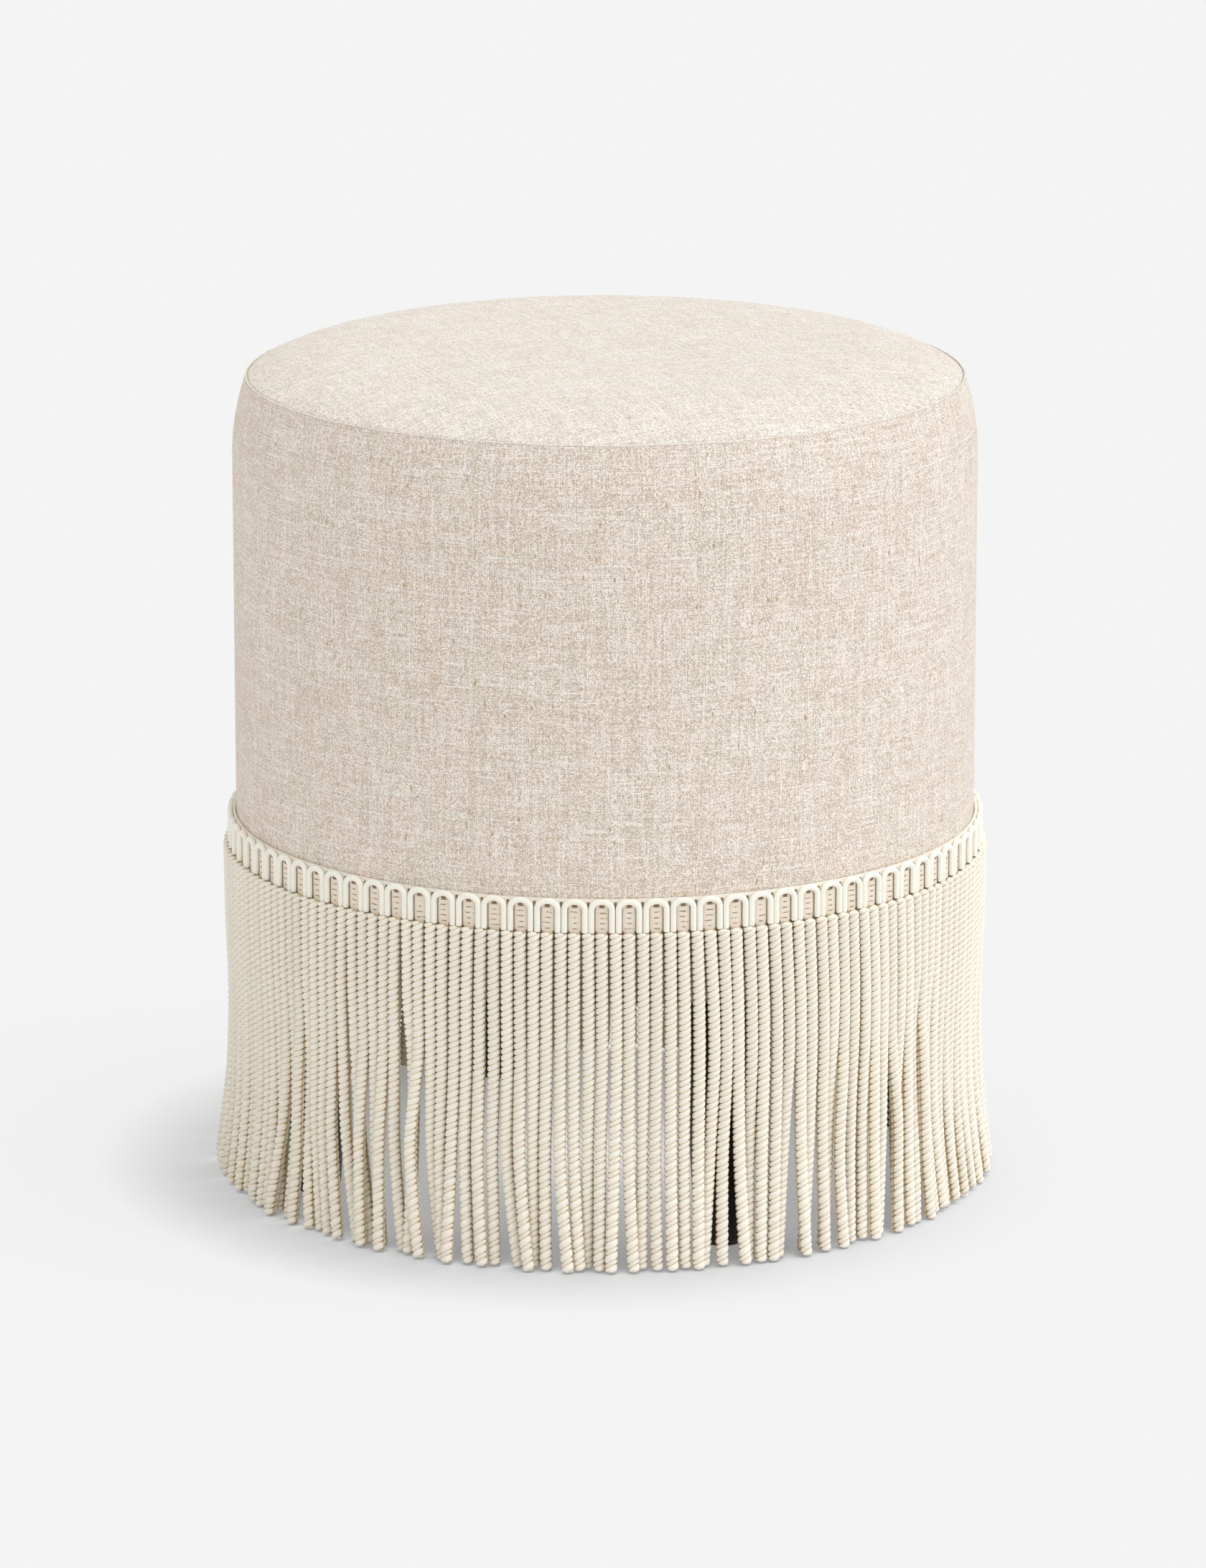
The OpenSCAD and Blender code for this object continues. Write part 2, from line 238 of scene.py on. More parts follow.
def sockets(kind, labels):
    """Sockets of one kind, from one line of names."""
    return [(kind, label) for label in labels.split(", ")]


# Effects that several materials share. Their vector is in metres

def effect(body, numbers, colours):
    """A shader group that makes a colour and a height, with the body's own name."""
    inputs = [(VECTOR, "Vector"), *sockets(NUMBER, numbers), *sockets(COLOUR, colours)]
    tree, given, result = group("ShaderNodeTree", body.__name__, inputs,
                                [(COLOUR, "Colour"), (NUMBER, "Height")])
    colour, height = body(**{label.lower(): given[label] for _, label in inputs})
    put(result, "Colour", colour)
    put(result, "Height", height)
    return tree


THREAD_PITCH = 0.65 * MM
# Numbers by which one thread's noise is drawn far from the next one's
THREAD_APART = 7.31
SLUB_APART = 3.17
THREAD_DRIFT = 0.022


def plain_weave(vector, dots, slubs, flecks, threads, grain, pale, shade, slub, fleck):
    """Plain weave with uneven threads, slubs, tan flecks and faint patches."""
    cells = scaled(vector, (1 / THREAD_PITCH,) * 3)
    u, v, _ = split(cells)
    u_index, v_index = u.floor(), v.floor()
    u_part, v_part = u.fraction(), v.fraction()
    over = (u_index + v_index).modulo(2.0)
    crown = (blend_of(over, u_part, v_part) * math.pi).sin()
    bow = (blend_of(over, v_part, u_part) * math.pi).sin()
    pill = crown * (bow * 0.4 + 0.6)
    # Painted shade in the holes between the threads, where both threads dip lowest
    hole = (1.0 - (u_part * math.pi).sin()) * (1.0 - (v_part * math.pi).sin())
    hole = hole * ramp(noise(cells, 0.9, 1.0), 0.36, 0.62)
    # Each thread has its own tone, which drifts along it
    warp = noise(join(u_index * THREAD_APART, v * 0.014, 0.0), 1.0, 1.0)
    weft = noise(join(u * THREAD_DRIFT, v_index * THREAD_APART, 5.0), 1.0, 1.0)
    thread = blend_of(over, blend_of(warp, -0.14, 1.14), weft)
    warp_slub = noise(join(u_index * SLUB_APART, v * THREAD_DRIFT, 11.0), 1.0, 0.0)
    weft_slub = noise(join(u * THREAD_DRIFT, v_index * SLUB_APART, 17.0), 1.0, 0.0)
    slubbed = ramp(warp_slub.max(weft_slub), 0.64, 0.76) * slubs
    flecked = ramp(noise(join(u * 0.36, v * 0.12, 23.0), 1.0, 1.0), 0.665, 0.77) * flecks
    # Where two threads cross, the upper one shows lighter or darker by chance
    crossing = add(vector.tree, "ShaderNodeTexWhiteNoise", {"Vector": join(u_index, v_index, 3.0)},
                   "Value", noise_dimensions="3D")
    crossing = (crossing - 0.5) * grain
    tone = ramp(crossing * 0.45 + (thread - 0.5) * threads, -0.2, 0.2)
    colour = mixed(tone, shade, pale)
    colour = mixed(slubbed, colour, slub)
    colour = mixed(flecked, colour, fleck)
    patch = ramp(noise(cells, 0.018), 0.35, 0.65)
    colour = tinted(colour, patch, (1.0, 0.975, 0.965, 1), (0.985, 1.0, 0.985, 1))
    cloudy = blend_of(noise(cells, 0.05, 3.0, 0.6), 0.94, 1.06)
    # The holes' painted shade is taken off the colour here, by the Dots amount
    colour = shaded(colour, crossing * 0.5 + (cloudy - hole * dots))
    return colour, slubbed * 0.35 + (thread * 0.5 + pill)


def strand_fibre(vector, groove, tone, pale, deep):
    """Fine fibres along a strand, with a drift of tone. The strand runs along the vector's Z."""
    fine = noise(scaled(vector, (1.0, 1.0, 0.13)), 5200.0, 2.0, 0.6)
    broad = noise(scaled(vector, (1.0, 1.0, 0.35)), 420.0)
    # The groove value mixes in the deep colour: painted shade in the strands' grooves on the fringe cords,
    # stitch marks on the loops and streaks on the tape
    colour = mixed(ramp((broad - 0.5) * 0.55 + groove, 0.35, 1.05), pale, deep)
    patch = ramp(noise(vector, 260.0, 1.0), 0.38, 0.62)
    colour = tinted(colour, patch, (1.0, 0.97, 0.955, 1), (0.975, 1.0, 0.985, 1))
    return shaded(colour, tone * blend_of(fine, 0.95, 1.05)), fine


def wood_grain(vector, ring, contrast, early, late):
    """Wood grain along the vector's Z, with rings across it."""
    bent = noise(scaled(vector, (1.0, 1.0, 0.12)), 28.0)
    band = (bent * 9.0 + split(vector)[0] / ring).pingpong(1.0)
    pore = noise(scaled(vector, (1.0, 1.0, 0.03)), 1900.0, 3.0, 0.65)
    return mixed((pore * 0.5 + band * 0.5) * contrast, early, late), pore


def specks(vector, size, amount, base, fleck):
    """Mottled colour and a fine pitted surface, for foam, wadding, plastic and zinc."""
    scale = 1.0 / size
    fine = noise(vector, scale, 3.0, 0.6)
    broad = noise(vector, scale * 0.12)
    share = ramp(broad * 0.5 + fine * 0.5, 0.35, 0.65) * amount
    return mixed(share, base, fleck), fine


WEAVE = effect(plain_weave, "Dots, Slubs, Flecks, Threads, Grain", "Pale, Shade, Slub, Fleck")
FIBRE = effect(strand_fibre, "Groove, Tone", "Pale, Deep")
GRAIN = effect(wood_grain, "Ring, Contrast", "Early, Late")
SPECKS = effect(specks, "Size, Amount", "Base, Fleck")


# Materials

def material(name, shared, values, bump, roughness, **sockets):
    """A Principled material whose colour and bump come from a shared effect."""
    made = bpy.data.materials.new(name)
    made.use_nodes = True
    tree = made.node_tree
    node = new_node(tree, "ShaderNodeGroup", values(tree), node_tree=shared)
    colour, height = (Wire(tree, socket) for socket in node.outputs)
    distance, strength = bump
    relief = add(tree, "ShaderNodeBump", {"Height": height, "Distance": distance, "Strength": strength})
    inputs = {"Base Color": colour, "Normal": relief, "Roughness": roughness}
    inputs.update({key.replace("_", " "): value for key, value in sockets.items()})
    for key, value in inputs.items():
        put(tree.nodes["Principled BSDF"], key, value)
    return made


def coordinates(tree, kind="Object"):
    return add(tree, "ShaderNodeTexCoord", output=kind)


def attribute(tree, name, output="Fac"):
    return add(tree, "ShaderNodeAttribute", output=output, attribute_name=name)


def linen(name, pale, shade, dots, slubs, flecks, threads, grain, seam_highlight=0.0):
    """Seam highlight: how strongly the painted highlight on the seam's bead shows, at the start of the side
    panel.
    """
    def values(tree):
        where = coordinates(tree, "UV")
        # Painted highlight on the seam's bead: paler colours near the panel's edge
        seam_highlight_mask = ramp(split(where)[1], SEAM_HIGHLIGHT_W - 0.4 * MM, SEAM_HIGHLIGHT_W) * -seam_highlight + seam_highlight
        return {"Vector": where, "Pale": mixed(seam_highlight_mask, pale, (1.0, 0.97, 0.90, 1)),
                "Shade": mixed(seam_highlight_mask, shade, (0.95, 0.90, 0.80, 1)),
                "Slub": (0.98, 0.95, 0.90, 1), "Fleck": (0.58, 0.40, 0.23, 1), "Dots": dots,
                "Slubs": slubs, "Flecks": flecks, "Threads": threads, "Grain": grain}
    return material(name, WEAVE, values, (0.25 * MM, 0.55), 0.92, Sheen_Weight=0.15,
                    Sheen_Roughness=0.5, Specular_IOR_Level=0.2)


LINEN_SIDE = linen("linen_side", (0.97, 0.905, 0.84, 1), (0.73, 0.625, 0.52, 1), dots=1.0, slubs=0.8,
                   flecks=1.0, threads=0.8, grain=0.62, seam_highlight=0.85)
# The seat's top is the side's cloth in greyer, lower-contrast, slightly darker colours: painted sheen where
# the light grazes it, toned down for the stronger light from above
LINEN_TOP = linen("linen_top", (0.92, 0.875, 0.825, 1), (0.77, 0.69, 0.60, 1), dots=0.9, slubs=0.8,
                  flecks=0.8, threads=1.0, grain=0.65)


def cord_values(tree):
    """Painted shade: each groove is tan on the front and dark where the cord faces its neighbour, and the
    flanks that face the neighbours are darker and warmer.
    """
    x, y, _ = split(attribute(tree, "around", "Vector"))
    where = join(x * CORD_R, y * CORD_R, attribute(tree, "along"))
    outward = abs(attribute(tree, "outward"))
    return {"Vector": where, "Groove": attribute(tree, "groove"), "Tone": attribute(tree, "tone"),
            # Painted shade on the flanks facing the neighbouring cords, and in the grooves there
            "Pale": mixed(ramp(outward, 0.0, 0.3), (0.66, 0.49, 0.25, 1), (0.965, 0.93, 0.845, 1)),
            "Deep": mixed(ramp(outward, 0.05, 0.6), (0.25, 0.155, 0.05, 1), (0.81, 0.71, 0.50, 1))}


def loop_values(tree):
    """The loops are smooth cord, held down by fine stitches at even heights."""
    where = coordinates(tree)
    row = from_middle((split(where)[2] - HEADER_Z) / STITCH_PITCH)
    return {"Vector": where, "Pale": (0.97, 0.955, 0.88, 1), "Deep": (0.74, 0.71, 0.62, 1),
            "Groove": fade(row, 0.03, 0.12) * 0.45, "Tone": 1.0}


def tape_values(tree):
    """Weft threads run round the tape. Inside each loop, painted shade shows as dark dashes and as a dark
    edge along the loop's legs.
    """
    cell, height, _ = split(coordinates(tree, "UV"))
    off = from_middle(cell) * LOOP_PITCH
    above = height - ARCH_IN_H
    low = fade(above, 0, 0.5 * MM)
    # Painted shade in dashes, in rows that wander a little up and down, each with its own length
    place = coordinates(tree)
    lifted = (noise(place, 110.0, 1.0) - 0.5) * (1.8 * MM) + height
    row = from_middle(lifted / STITCH_PITCH) * STITCH_PITCH
    reach = noise(place, 330.0, 1.0) * (9.5 * MM) - 3.1 * MM
    dash = fade(off, reach * 0.5, reach) * fade(row, 0.12 * MM, 0.42 * MM) * low
    # Painted shade along the loop's legs and in the crack between two loops
    beside = abs(off - 3.7 * MM)
    edge = fade(beside, 0.15 * MM, 0.55 * MM) * 0.75
    between = ramp(off, 6.5 * MM, 6.8 * MM)
    # Painted shade in spots: under each arch, where two arches part, and between the heads of the cords
    under = ramp(above, -2.2 * MM, -1.4 * MM) * fade(above, 0.6 * MM, 1.2 * MM)
    under = under * fade(off, 1.0 * MM, 1.8 * MM)
    parted = ramp(above, -0.8 * MM, -0.2 * MM) * fade(above, 0.9 * MM, 1.4 * MM)
    parted = parted * ramp(off, 6.1 * MM, 6.6 * MM)
    foot = fade(height, 2.6 * MM, 3.4 * MM) * fade(beside, 0.9 * MM, 1.4 * MM)
    painted_shade = (edge.max(between) * low).max(foot).max(under.max(parted)) * 0.9
    painted_shade = painted_shade.max(dash * 0.75)
    streak = join(cell * (0.2 * LOOP_PITCH), height, 0.0)
    thread = (height * (TURN / TAPE_RIB)).sin()
    groove = thread * -0.08 + noise(streak, 2600.0) * 0.35
    inside = fade(off, 3.2 * MM, 3.6 * MM) * low
    pale = mixed(inside, (0.96, 0.92, 0.83, 1), (0.89, 0.80, 0.70, 1))
    return {"Vector": streak, "Pale": mixed(painted_shade, pale, (0.20, 0.12, 0.06, 1)),
            "Deep": (0.50, 0.38, 0.26, 1), "Groove": groove, "Tone": 1.0}


YARN = material("fringe_yarn", FIBRE, cord_values, (0.12 * MM, 0.5), 0.8, Sheen_Weight=0.2,
                Sheen_Roughness=0.4, Specular_IOR_Level=0.25)
LOOP_YARN = material("loop_yarn", FIBRE, loop_values, (0.1 * MM, 0.35), 0.7, Sheen_Weight=0.2,
                     Sheen_Roughness=0.4, Specular_IOR_Level=0.3)
TAPE = material("header_tape", FIBRE, tape_values, (0.15 * MM, 0.6), 0.85, Sheen_Weight=0.1,
                Specular_IOR_Level=0.2)


def wood(name, early, late, ring, contrast, roughness, turned=(0, 0, 0), coat=0.0):
    def values(tree):
        inputs = {"Vector": coordinates(tree), "Rotation": turned}
        return {"Vector": add(tree, "ShaderNodeMapping", inputs), "Ring": ring, "Early": early,
                "Late": late, "Contrast": contrast}
    return material(name, GRAIN, values, (0.1 * MM, 0.4), roughness, Coat_Weight=coat,
                    Coat_Roughness=0.35)


def speckled(name, base, fleck, size, amount, bump, roughness, metallic=0.0):
    def values(tree):
        return {"Vector": coordinates(tree), "Size": size, "Base": base, "Fleck": fleck,
                "Amount": amount}
    return material(name, SPECKS, values, bump, roughness, Metallic=metallic)


ESPRESSO = wood("espresso_wood", (0.020, 0.014, 0.0135, 1), (0.008, 0.006, 0.006, 1), 4 * MM, 0.9,
                0.45, coat=0.15)
PINE = wood("pine", (0.80, 0.62, 0.40, 1), (0.55, 0.33, 0.16, 1), 3.5 * MM, 0.8, 0.7)
PLY = wood("plywood", (0.70, 0.54, 0.36, 1), (0.42, 0.28, 0.16, 1), 1.6 * MM, 0.7, 0.7,
           turned=(0, math.pi / 2, 0))
HARDBOARD = speckled("hardboard", (0.30, 0.18, 0.095, 1), (0.17, 0.095, 0.05, 1), 0.9 * MM, 0.8,
                     (0.1 * MM, 0.5), 0.75)
ZINC = speckled("zinc", (0.62, 0.63, 0.65, 1), (0.42, 0.44, 0.47, 1), 0.5 * MM, 0.6,
                (0.02 * MM, 0.3), 0.38, metallic=1.0)
GLIDE = speckled("glide_plastic", (0.025, 0.025, 0.027, 1), (0.045, 0.045, 0.047, 1), 0.4 * MM, 0.7,
                 (0.03 * MM, 0.4), 0.5)
FOAM = speckled("foam", (0.86, 0.78, 0.55, 1), (0.68, 0.58, 0.36, 1), 0.8 * MM, 0.9,
                (0.5 * MM, 0.8), 0.95)
WADDING = speckled("wadding", (0.92, 0.92, 0.90, 1), (0.80, 0.80, 0.78, 1), 1.6 * MM, 0.8,
                   (0.6 * MM, 0.7), 0.95)
DUST_CLOTH = speckled("dust_cloth", (0.018, 0.018, 0.020, 1), (0.040, 0.040, 0.044, 1), 0.7 * MM, 0.8,
                      (0.1 * MM, 0.6), 0.85)


# Meshes

def shown(name, data):
    """A new object in the scene."""
    made = bpy.data.objects.new(name, data)
    bpy.context.scene.collection.objects.link(made)
    return made


def piece_of(name, verts, faces, made_of, uvs=None):
    """A smooth mesh object from points and faces, with its UV map as one pair per face corner."""
    mesh = bpy.data.meshes.new(name)
    mesh.from_pydata([tuple(p) for p in verts], [], faces)
    if uvs is not None:
        layer = mesh.uv_layers.new(name="UVMap")
        layer.data.foreach_set("uv", np.asarray(uvs, np.float32).ravel())
    mesh.polygons.foreach_set("use_smooth", [True] * len(mesh.polygons))
    mesh.materials.append(made_of)
    return shown(name, mesh)


def points_of(holder):
    return np.array([v.co for v in holder.data.vertices])


def set_points(piece, points):
    piece.data.vertices.foreach_set("co", points.astype(np.float32).ravel())
    piece.data.update()


def face_out(piece):
    """Turns all faces of a closed mesh outwards."""
    work = bmesh.new()
    work.from_mesh(piece.data)
    bmesh.ops.recalc_face_normals(work, faces=work.faces)
    if work.calc_volume(signed=True) < 0:
        bmesh.ops.reverse_faces(work, faces=work.faces)
    work.to_mesh(piece.data)
    work.free()
    return piece


def lathe(name, outline, made_of, angles, shift=None):
    """Turns a closed outline of (radius, height) points round Z. Points on the axis become poles."""
    outline = np.asarray(outline, float)
    rows, columns = len(outline), len(angles)
    radius = np.repeat(outline[:, :1], columns, 1)
    height = np.repeat(outline[:, 1:], columns, 1)
    if shift is not None:
        radius, height = shift(radius, height, np.repeat(angles[None], rows, 0))
    verts, at = [], np.zeros((rows, columns), int)
    for i in range(rows):
        if outline[i, 0] == 0:
            at[i] = len(verts)
            verts.append((0, 0, height[i, 0]))
            continue
        at[i] = len(verts) + np.arange(columns)
        verts += list(zip(radius[i] * np.cos(angles), radius[i] * np.sin(angles), height[i]))
    round_trip = np.vstack([outline, outline[:1]])
    run = np.append(0, np.cumsum(np.linalg.norm(np.diff(round_trip, axis=0), axis=1)))
    bends = np.append(angles, angles[0] + TURN) * BODY_R
    faces, uvs = [], []
    for i in range(rows):
        k = (i + 1) % rows
        if outline[i, 0] == 0 and outline[k, 0] == 0:
            continue
        for j in range(columns):
            m = (j + 1) % columns
            corners = [(at[i, j], bends[j], run[i]), (at[i, m], bends[j + 1], run[i]),
                       (at[k, m], bends[j + 1], run[i + 1]), (at[k, j], bends[j], run[i + 1])]
            if outline[i, 0] == 0:
                corners.pop(1)
            elif outline[k, 0] == 0:
                corners.pop(3)
            faces.append([int(c[0]) for c in corners])
            uvs += [c[1:] for c in corners]
    return face_out(piece_of(name, verts, faces, made_of, uvs))


def evenly(count, start=0.0):
    return start + TURN * np.arange(count) / count


def wall_line(radius, height):
    """Outline points from two rows of numbers, either of which may be one number."""
    return np.stack(np.broadcast_arrays(radius, height), 1)


def offset_line(line, depth):
    """The same line, moved to its right by a depth."""
    way = np.gradient(line, axis=0)
    way /= np.linalg.norm(way, axis=1)[:, None]
    return line + depth * np.stack([way[:, 1], -way[:, 0]], 1)


def crown_z(share):
    """Height of the seat at a share of the seam's radius."""
    drop = sum(part * np.power(share, power) for part, power in CROWN_SHARES)
    return SEAM_Z + CROWN_RISE * (1 - drop)


def shoulder_r(share):
    """How far out the shoulder stands at a share of its way down from the seam."""
    return SEAM_R + (BODY_R - SEAM_R) * (1 - np.power(1 - share, SHOULDER_POWER))


def seat_line(depth, end_z, steps=18):
    """The seat's outline from its middle to the seam and down the shoulder, drawn in by a depth."""
    u = np.linspace(0, 1, steps)
    t = np.linspace(0, 1, steps // 2)[1:]
    start = SEAM_Z - depth
    return np.vstack([wall_line((SEAM_R - depth) * u, crown_z(u) - depth),
                      wall_line(shoulder_r(t) - depth, start + (end_z - start) * t)])


def ripple(angles, waves, seed):
    """A smooth random line round the drum, between about -1 and 1."""
    chance = np.random.default_rng(seed)
    total = np.zeros_like(angles)
    for wave in waves:
        total = total + chance.uniform(0.5, 1) * np.sin(wave * angles + chance.uniform(0, TURN))
    return total / max(1, len(waves)) ** 0.5


def ride(piece, slot_name, *replaced):
    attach(piece, "root")
    if replaced:
        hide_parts(*replaced)


def baked(piece):
    """A plain mesh of what an object's modifiers make, in its place."""
    bpy.context.view_layer.update()
    seen = piece.evaluated_get(bpy.context.evaluated_depsgraph_get())
    mesh = bpy.data.meshes.new_from_object(seen)
    old = piece.data
    piece.modifiers.clear()
    piece.data = mesh
    mesh.name = piece.name
    if old.users == 0:
        bpy.data.meshes.remove(old)
    return piece


# The seat's top panel, relaxed as cloth over the pad's pressure

SEAM_TUCK = 0.3 * MM
TOP_CELLS = 84
TOP_WEAVE_TURN = CAMERA_AZIMUTH - math.radians(68)
CLOTH_FRAMES = 20
CLOTH_CAP = 2.5 * MM
CLOTH_SETTINGS = {"quality": 6, "mass": 0.3, "tension_stiffness": 40, "compression_stiffness": 40,
                  "shear_stiffness": 13, "bending_stiffness": 0.5, "use_pressure": True,
                  "uniform_pressure_force": 4.0, "vertex_group_mass": "sewn"}
START_SHARE = 0.96
PAD_HOLD = 0.1
RINGS = 28


def round_grid(cells):
    """A square grid bent into a unit disc, so that all its cells are about one size."""
    side = np.linspace(-1, 1, cells + 1)
    a, b = np.meshgrid(side, side, indexing="ij")
    wide = np.abs(a) > np.abs(b)
    radius = np.where(wide, a, b)
    safe = np.where(radius == 0, 1, radius)
    angle = np.where(wide, math.pi / 4 * b / safe, math.pi / 2 - math.pi / 4 * a / safe)
    return radius * np.cos(angle), radius * np.sin(angle)


def relax_as_cloth(piece, pinned, cap):
    """Lets the pad press the cloth out while it holds it. A point moves no further than the cap."""
    scene = bpy.context.scene
    rest = points_of(piece)
    sewn = piece.vertex_groups.new(name="sewn")
    sewn.add(list(range(len(rest))), PAD_HOLD, "REPLACE")
    sewn.add([int(i) for i in pinned], 1.0, "REPLACE")
    cloth = piece.modifiers.new("cloth", "CLOTH")
    for name, value in CLOTH_SETTINGS.items():
        setattr(cloth.settings, name, value)
    cloth.settings.effector_weights.gravity = 0
    cloth.collision_settings.use_collision = False
    cloth.point_cache.frame_start = 1
    cloth.point_cache.frame_end = CLOTH_FRAMES
    for number in range(1, CLOTH_FRAMES + 1):
        scene.frame_set(number)
    moved = points_of(piece.evaluated_get(bpy.context.evaluated_depsgraph_get()))
    piece.modifiers.clear()
    piece.vertex_groups.clear()
    scene.frame_set(1)
    step = moved - rest
    far = np.linalg.norm(step, axis=1)[:, None]
    set_points(piece, rest + step * np.minimum(1, cap / np.maximum(far, 1e-9)))


def hold_crown(piece, share, wanted):
    """The pad keeps the seat's crown: of the cloth's moves only what differs round each ring stays."""
    points = points_of(piece)
    rise = points[:, 2] - wanted
    ring = np.minimum((share * RINGS).astype(int), RINGS - 1)
    count = np.bincount(ring)
    ring_share = np.append(np.bincount(ring, share) / count, 1.0)
    ring_rise = np.append(np.bincount(ring, rise) / count, 0.0)
    points[:, 2] -= np.interp(share, ring_share, ring_rise)
    set_points(piece, points)


def top_cover():
    x, y = round_grid(TOP_CELLS)
    share = np.hypot(x, y)
    rim = SEAM_R - SEAM_TUCK
    start = START_SHARE
    # The edge turns down into the seam, a little unevenly, where the stitches pull it
    inward = (1 - share) * SEAM_R
    pull = 0.16 * MM * ripple(np.arctan2(y, x), (61, 83, 97, 113, 131), 3)
    dip = 0.5 * MM * np.exp(-inward / (1.1 * MM)) + pull * np.exp(-inward / (7 * MM))
    height = SEAM_Z + (crown_z(share) - SEAM_Z) * start - dip
    verts = np.stack([x * rim, y * rim, height], -1).reshape(-1, 3)
    columns = TOP_CELLS + 1
    faces = [[i * columns + j, (i + 1) * columns + j, (i + 1) * columns + j + 1, i * columns + j + 1]
             for i in range(TOP_CELLS) for j in range(TOP_CELLS)]
    cos, sin = math.cos(TOP_WEAVE_TURN), math.sin(TOP_WEAVE_TURN)
    flat = np.stack([verts[:, 0] * cos + verts[:, 1] * sin, verts[:, 1] * cos - verts[:, 0] * sin], 1)
    piece = piece_of("top_panel", verts, faces, LINEN_TOP, flat[np.asarray(faces).ravel()])
    relax_as_cloth(piece, np.flatnonzero(share.ravel() > 0.999), CLOTH_CAP)
    hold_crown(piece, share.ravel(), (crown_z(share) - dip).ravel())
    finer = piece.modifiers.new("finer", "SUBSURF")
    finer.levels = finer.render_levels = 1
    thick = piece.modifiers.new("thick", "SOLIDIFY")
    thick.thickness = COVER_T
    thick.offset = -1
    face_out(baked(piece))
    ride(piece, "cover_linen", "top_cover")


# The side panel, with its bead at the seam, its shoulder, its back seam and its hem

BACK_SEAM = CAMERA_POLAR + math.pi
BEAD_R = 0.45 * MM
CORNER_R = 2.5 * MM
SIDE_COLUMNS = 300


def side_line():
    """Outside of the side panel, from inside the seam, over the bead and down to the hem."""
    turn = np.linspace(1.15 * math.pi, 0.05 * math.pi, 7)
    bead = wall_line(SEAM_R - 0.1 * MM + BEAD_R * np.cos(turn), SEAM_Z + BEAD_R * np.sin(turn))
    t = np.linspace(0.04, 1, 16)
    shoulder = wall_line(shoulder_r(t), SEAM_Z + (SEAT_TOP_Z - SEAM_Z) * t)
    wall = wall_line(BODY_R, np.linspace(SEAT_TOP_Z, HEM_Z + CORNER_R, 22)[1:])
    turn = np.linspace(0, -math.pi / 2, 5)[1:]
    corner = wall_line(BODY_R - CORNER_R + CORNER_R * np.cos(turn),
                       HEM_Z + CORNER_R + CORNER_R * np.sin(turn))
    return np.vstack([[SEAM_R - 1.1 * MM, SEAM_Z - 1.6 * MM], bead, shoulder, wall, corner,
                      [BODY_R - COVER_T - HEM_W, HEM_Z]])


def side_shift(radius, height, angles):
    """Small unevenness: puckers below the seam, soft waves on the wall and the back seam's groove."""
    below = np.clip(SEAM_Z - height, 0, None)
    pucker = 0.14 * MM * ripple(angles, (47, 59, 71, 83, 101), 8) * np.exp(-below / (9 * MM))
    bulge = np.sin(np.clip(below / (300 * MM), 0, 1) * math.pi)
    wave = 0.22 * MM * ripple(angles, (3, 5, 8, 13), 5) * bulge
    off = np.abs((angles - BACK_SEAM + math.pi) % TURN - math.pi) * BODY_R
    groove = -0.7 * MM * np.exp(-(off / (0.8 * MM)) ** 2)
    swell = 0.35 * MM * np.exp(-((off - 2.5 * MM) / (1.6 * MM)) ** 2)
    on_wall = (height > HEM_Z + CORNER_R) & (below > 1 * MM)
    return radius + np.where(on_wall, pucker + wave + groove + swell, 0), height


def side_cover():
    line = side_line()
    # Columns stand closer where the back seam's groove is
    near_seam = BACK_SEAM + np.array([-2.6, -1.7, -1.1, -0.6, -0.25, 0, 0.25, 0.6, 1.1, 1.7, 2.6]) * (
        1.6 * MM / BODY_R)
    even = evenly(SIDE_COLUMNS, BACK_SEAM + 0.03)[:SIDE_COLUMNS - 2]
    angles = np.sort(np.concatenate([near_seam, even]) % TURN)
    outline = np.vstack([line, offset_line(line, COVER_T)[::-1]])
    piece = lathe("side_panel", outline, LINEN_SIDE, angles, side_shift)
    ride(piece, "cover_linen", "side_cover")


# Soft pieces inside

LAYER_GAP = 0.3 * MM
BATTING_T = 6 * MM
SIDE_FOAM_T = 6 * MM
SIDE_FOAM_EDGE = 1.2 * MM
DUST_SAG = 0.9 * MM


def seat_pads():
    outer = COVER_T + LAYER_GAP
    low_z = SEAT_TOP_Z + LAYER_GAP
    wadding_line = np.vstack([seat_line(outer, low_z), seat_line(outer + BATTING_T, low_z)[::-1]])
    batting = lathe("seat_wadding", wadding_line, WADDING, evenly(144))
    ride(batting, "wadding", "seat_batting")
    inner = outer + BATTING_T + LAYER_GAP
    foam_line = np.vstack([seat_line(inner, SEAT_TOP_Z), [[0, SEAT_TOP_Z]]])
    foam = lathe("seat_pad", foam_line, FOAM, evenly(144))
    ride(foam, "foam", "seat_foam")


def foam_shift(radius, height, angles):
    """The foam sheet is pressed thinner here and there, never thicker."""
    return radius - 0.1 * MM * (1 + ripple(angles, (7, 11, 23), 15)), height


def side_padding():
    low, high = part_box("side_padding")
    edge = SIDE_FOAM_EDGE
    out_r, in_r = high.x, high.x - SIDE_FOAM_T
    z = np.linspace(low.z + edge, high.z - edge, 24)
    outline = np.vstack([wall_line(out_r, z), [[out_r - edge, high.z], [in_r + edge, high.z]],
                         wall_line(in_r, z[::-1]), [[in_r + edge, low.z], [out_r - edge, low.z]]])
    piece = lathe("side_foam", outline, FOAM, evenly(180), foam_shift)
    ride(piece, "foam", "side_padding")


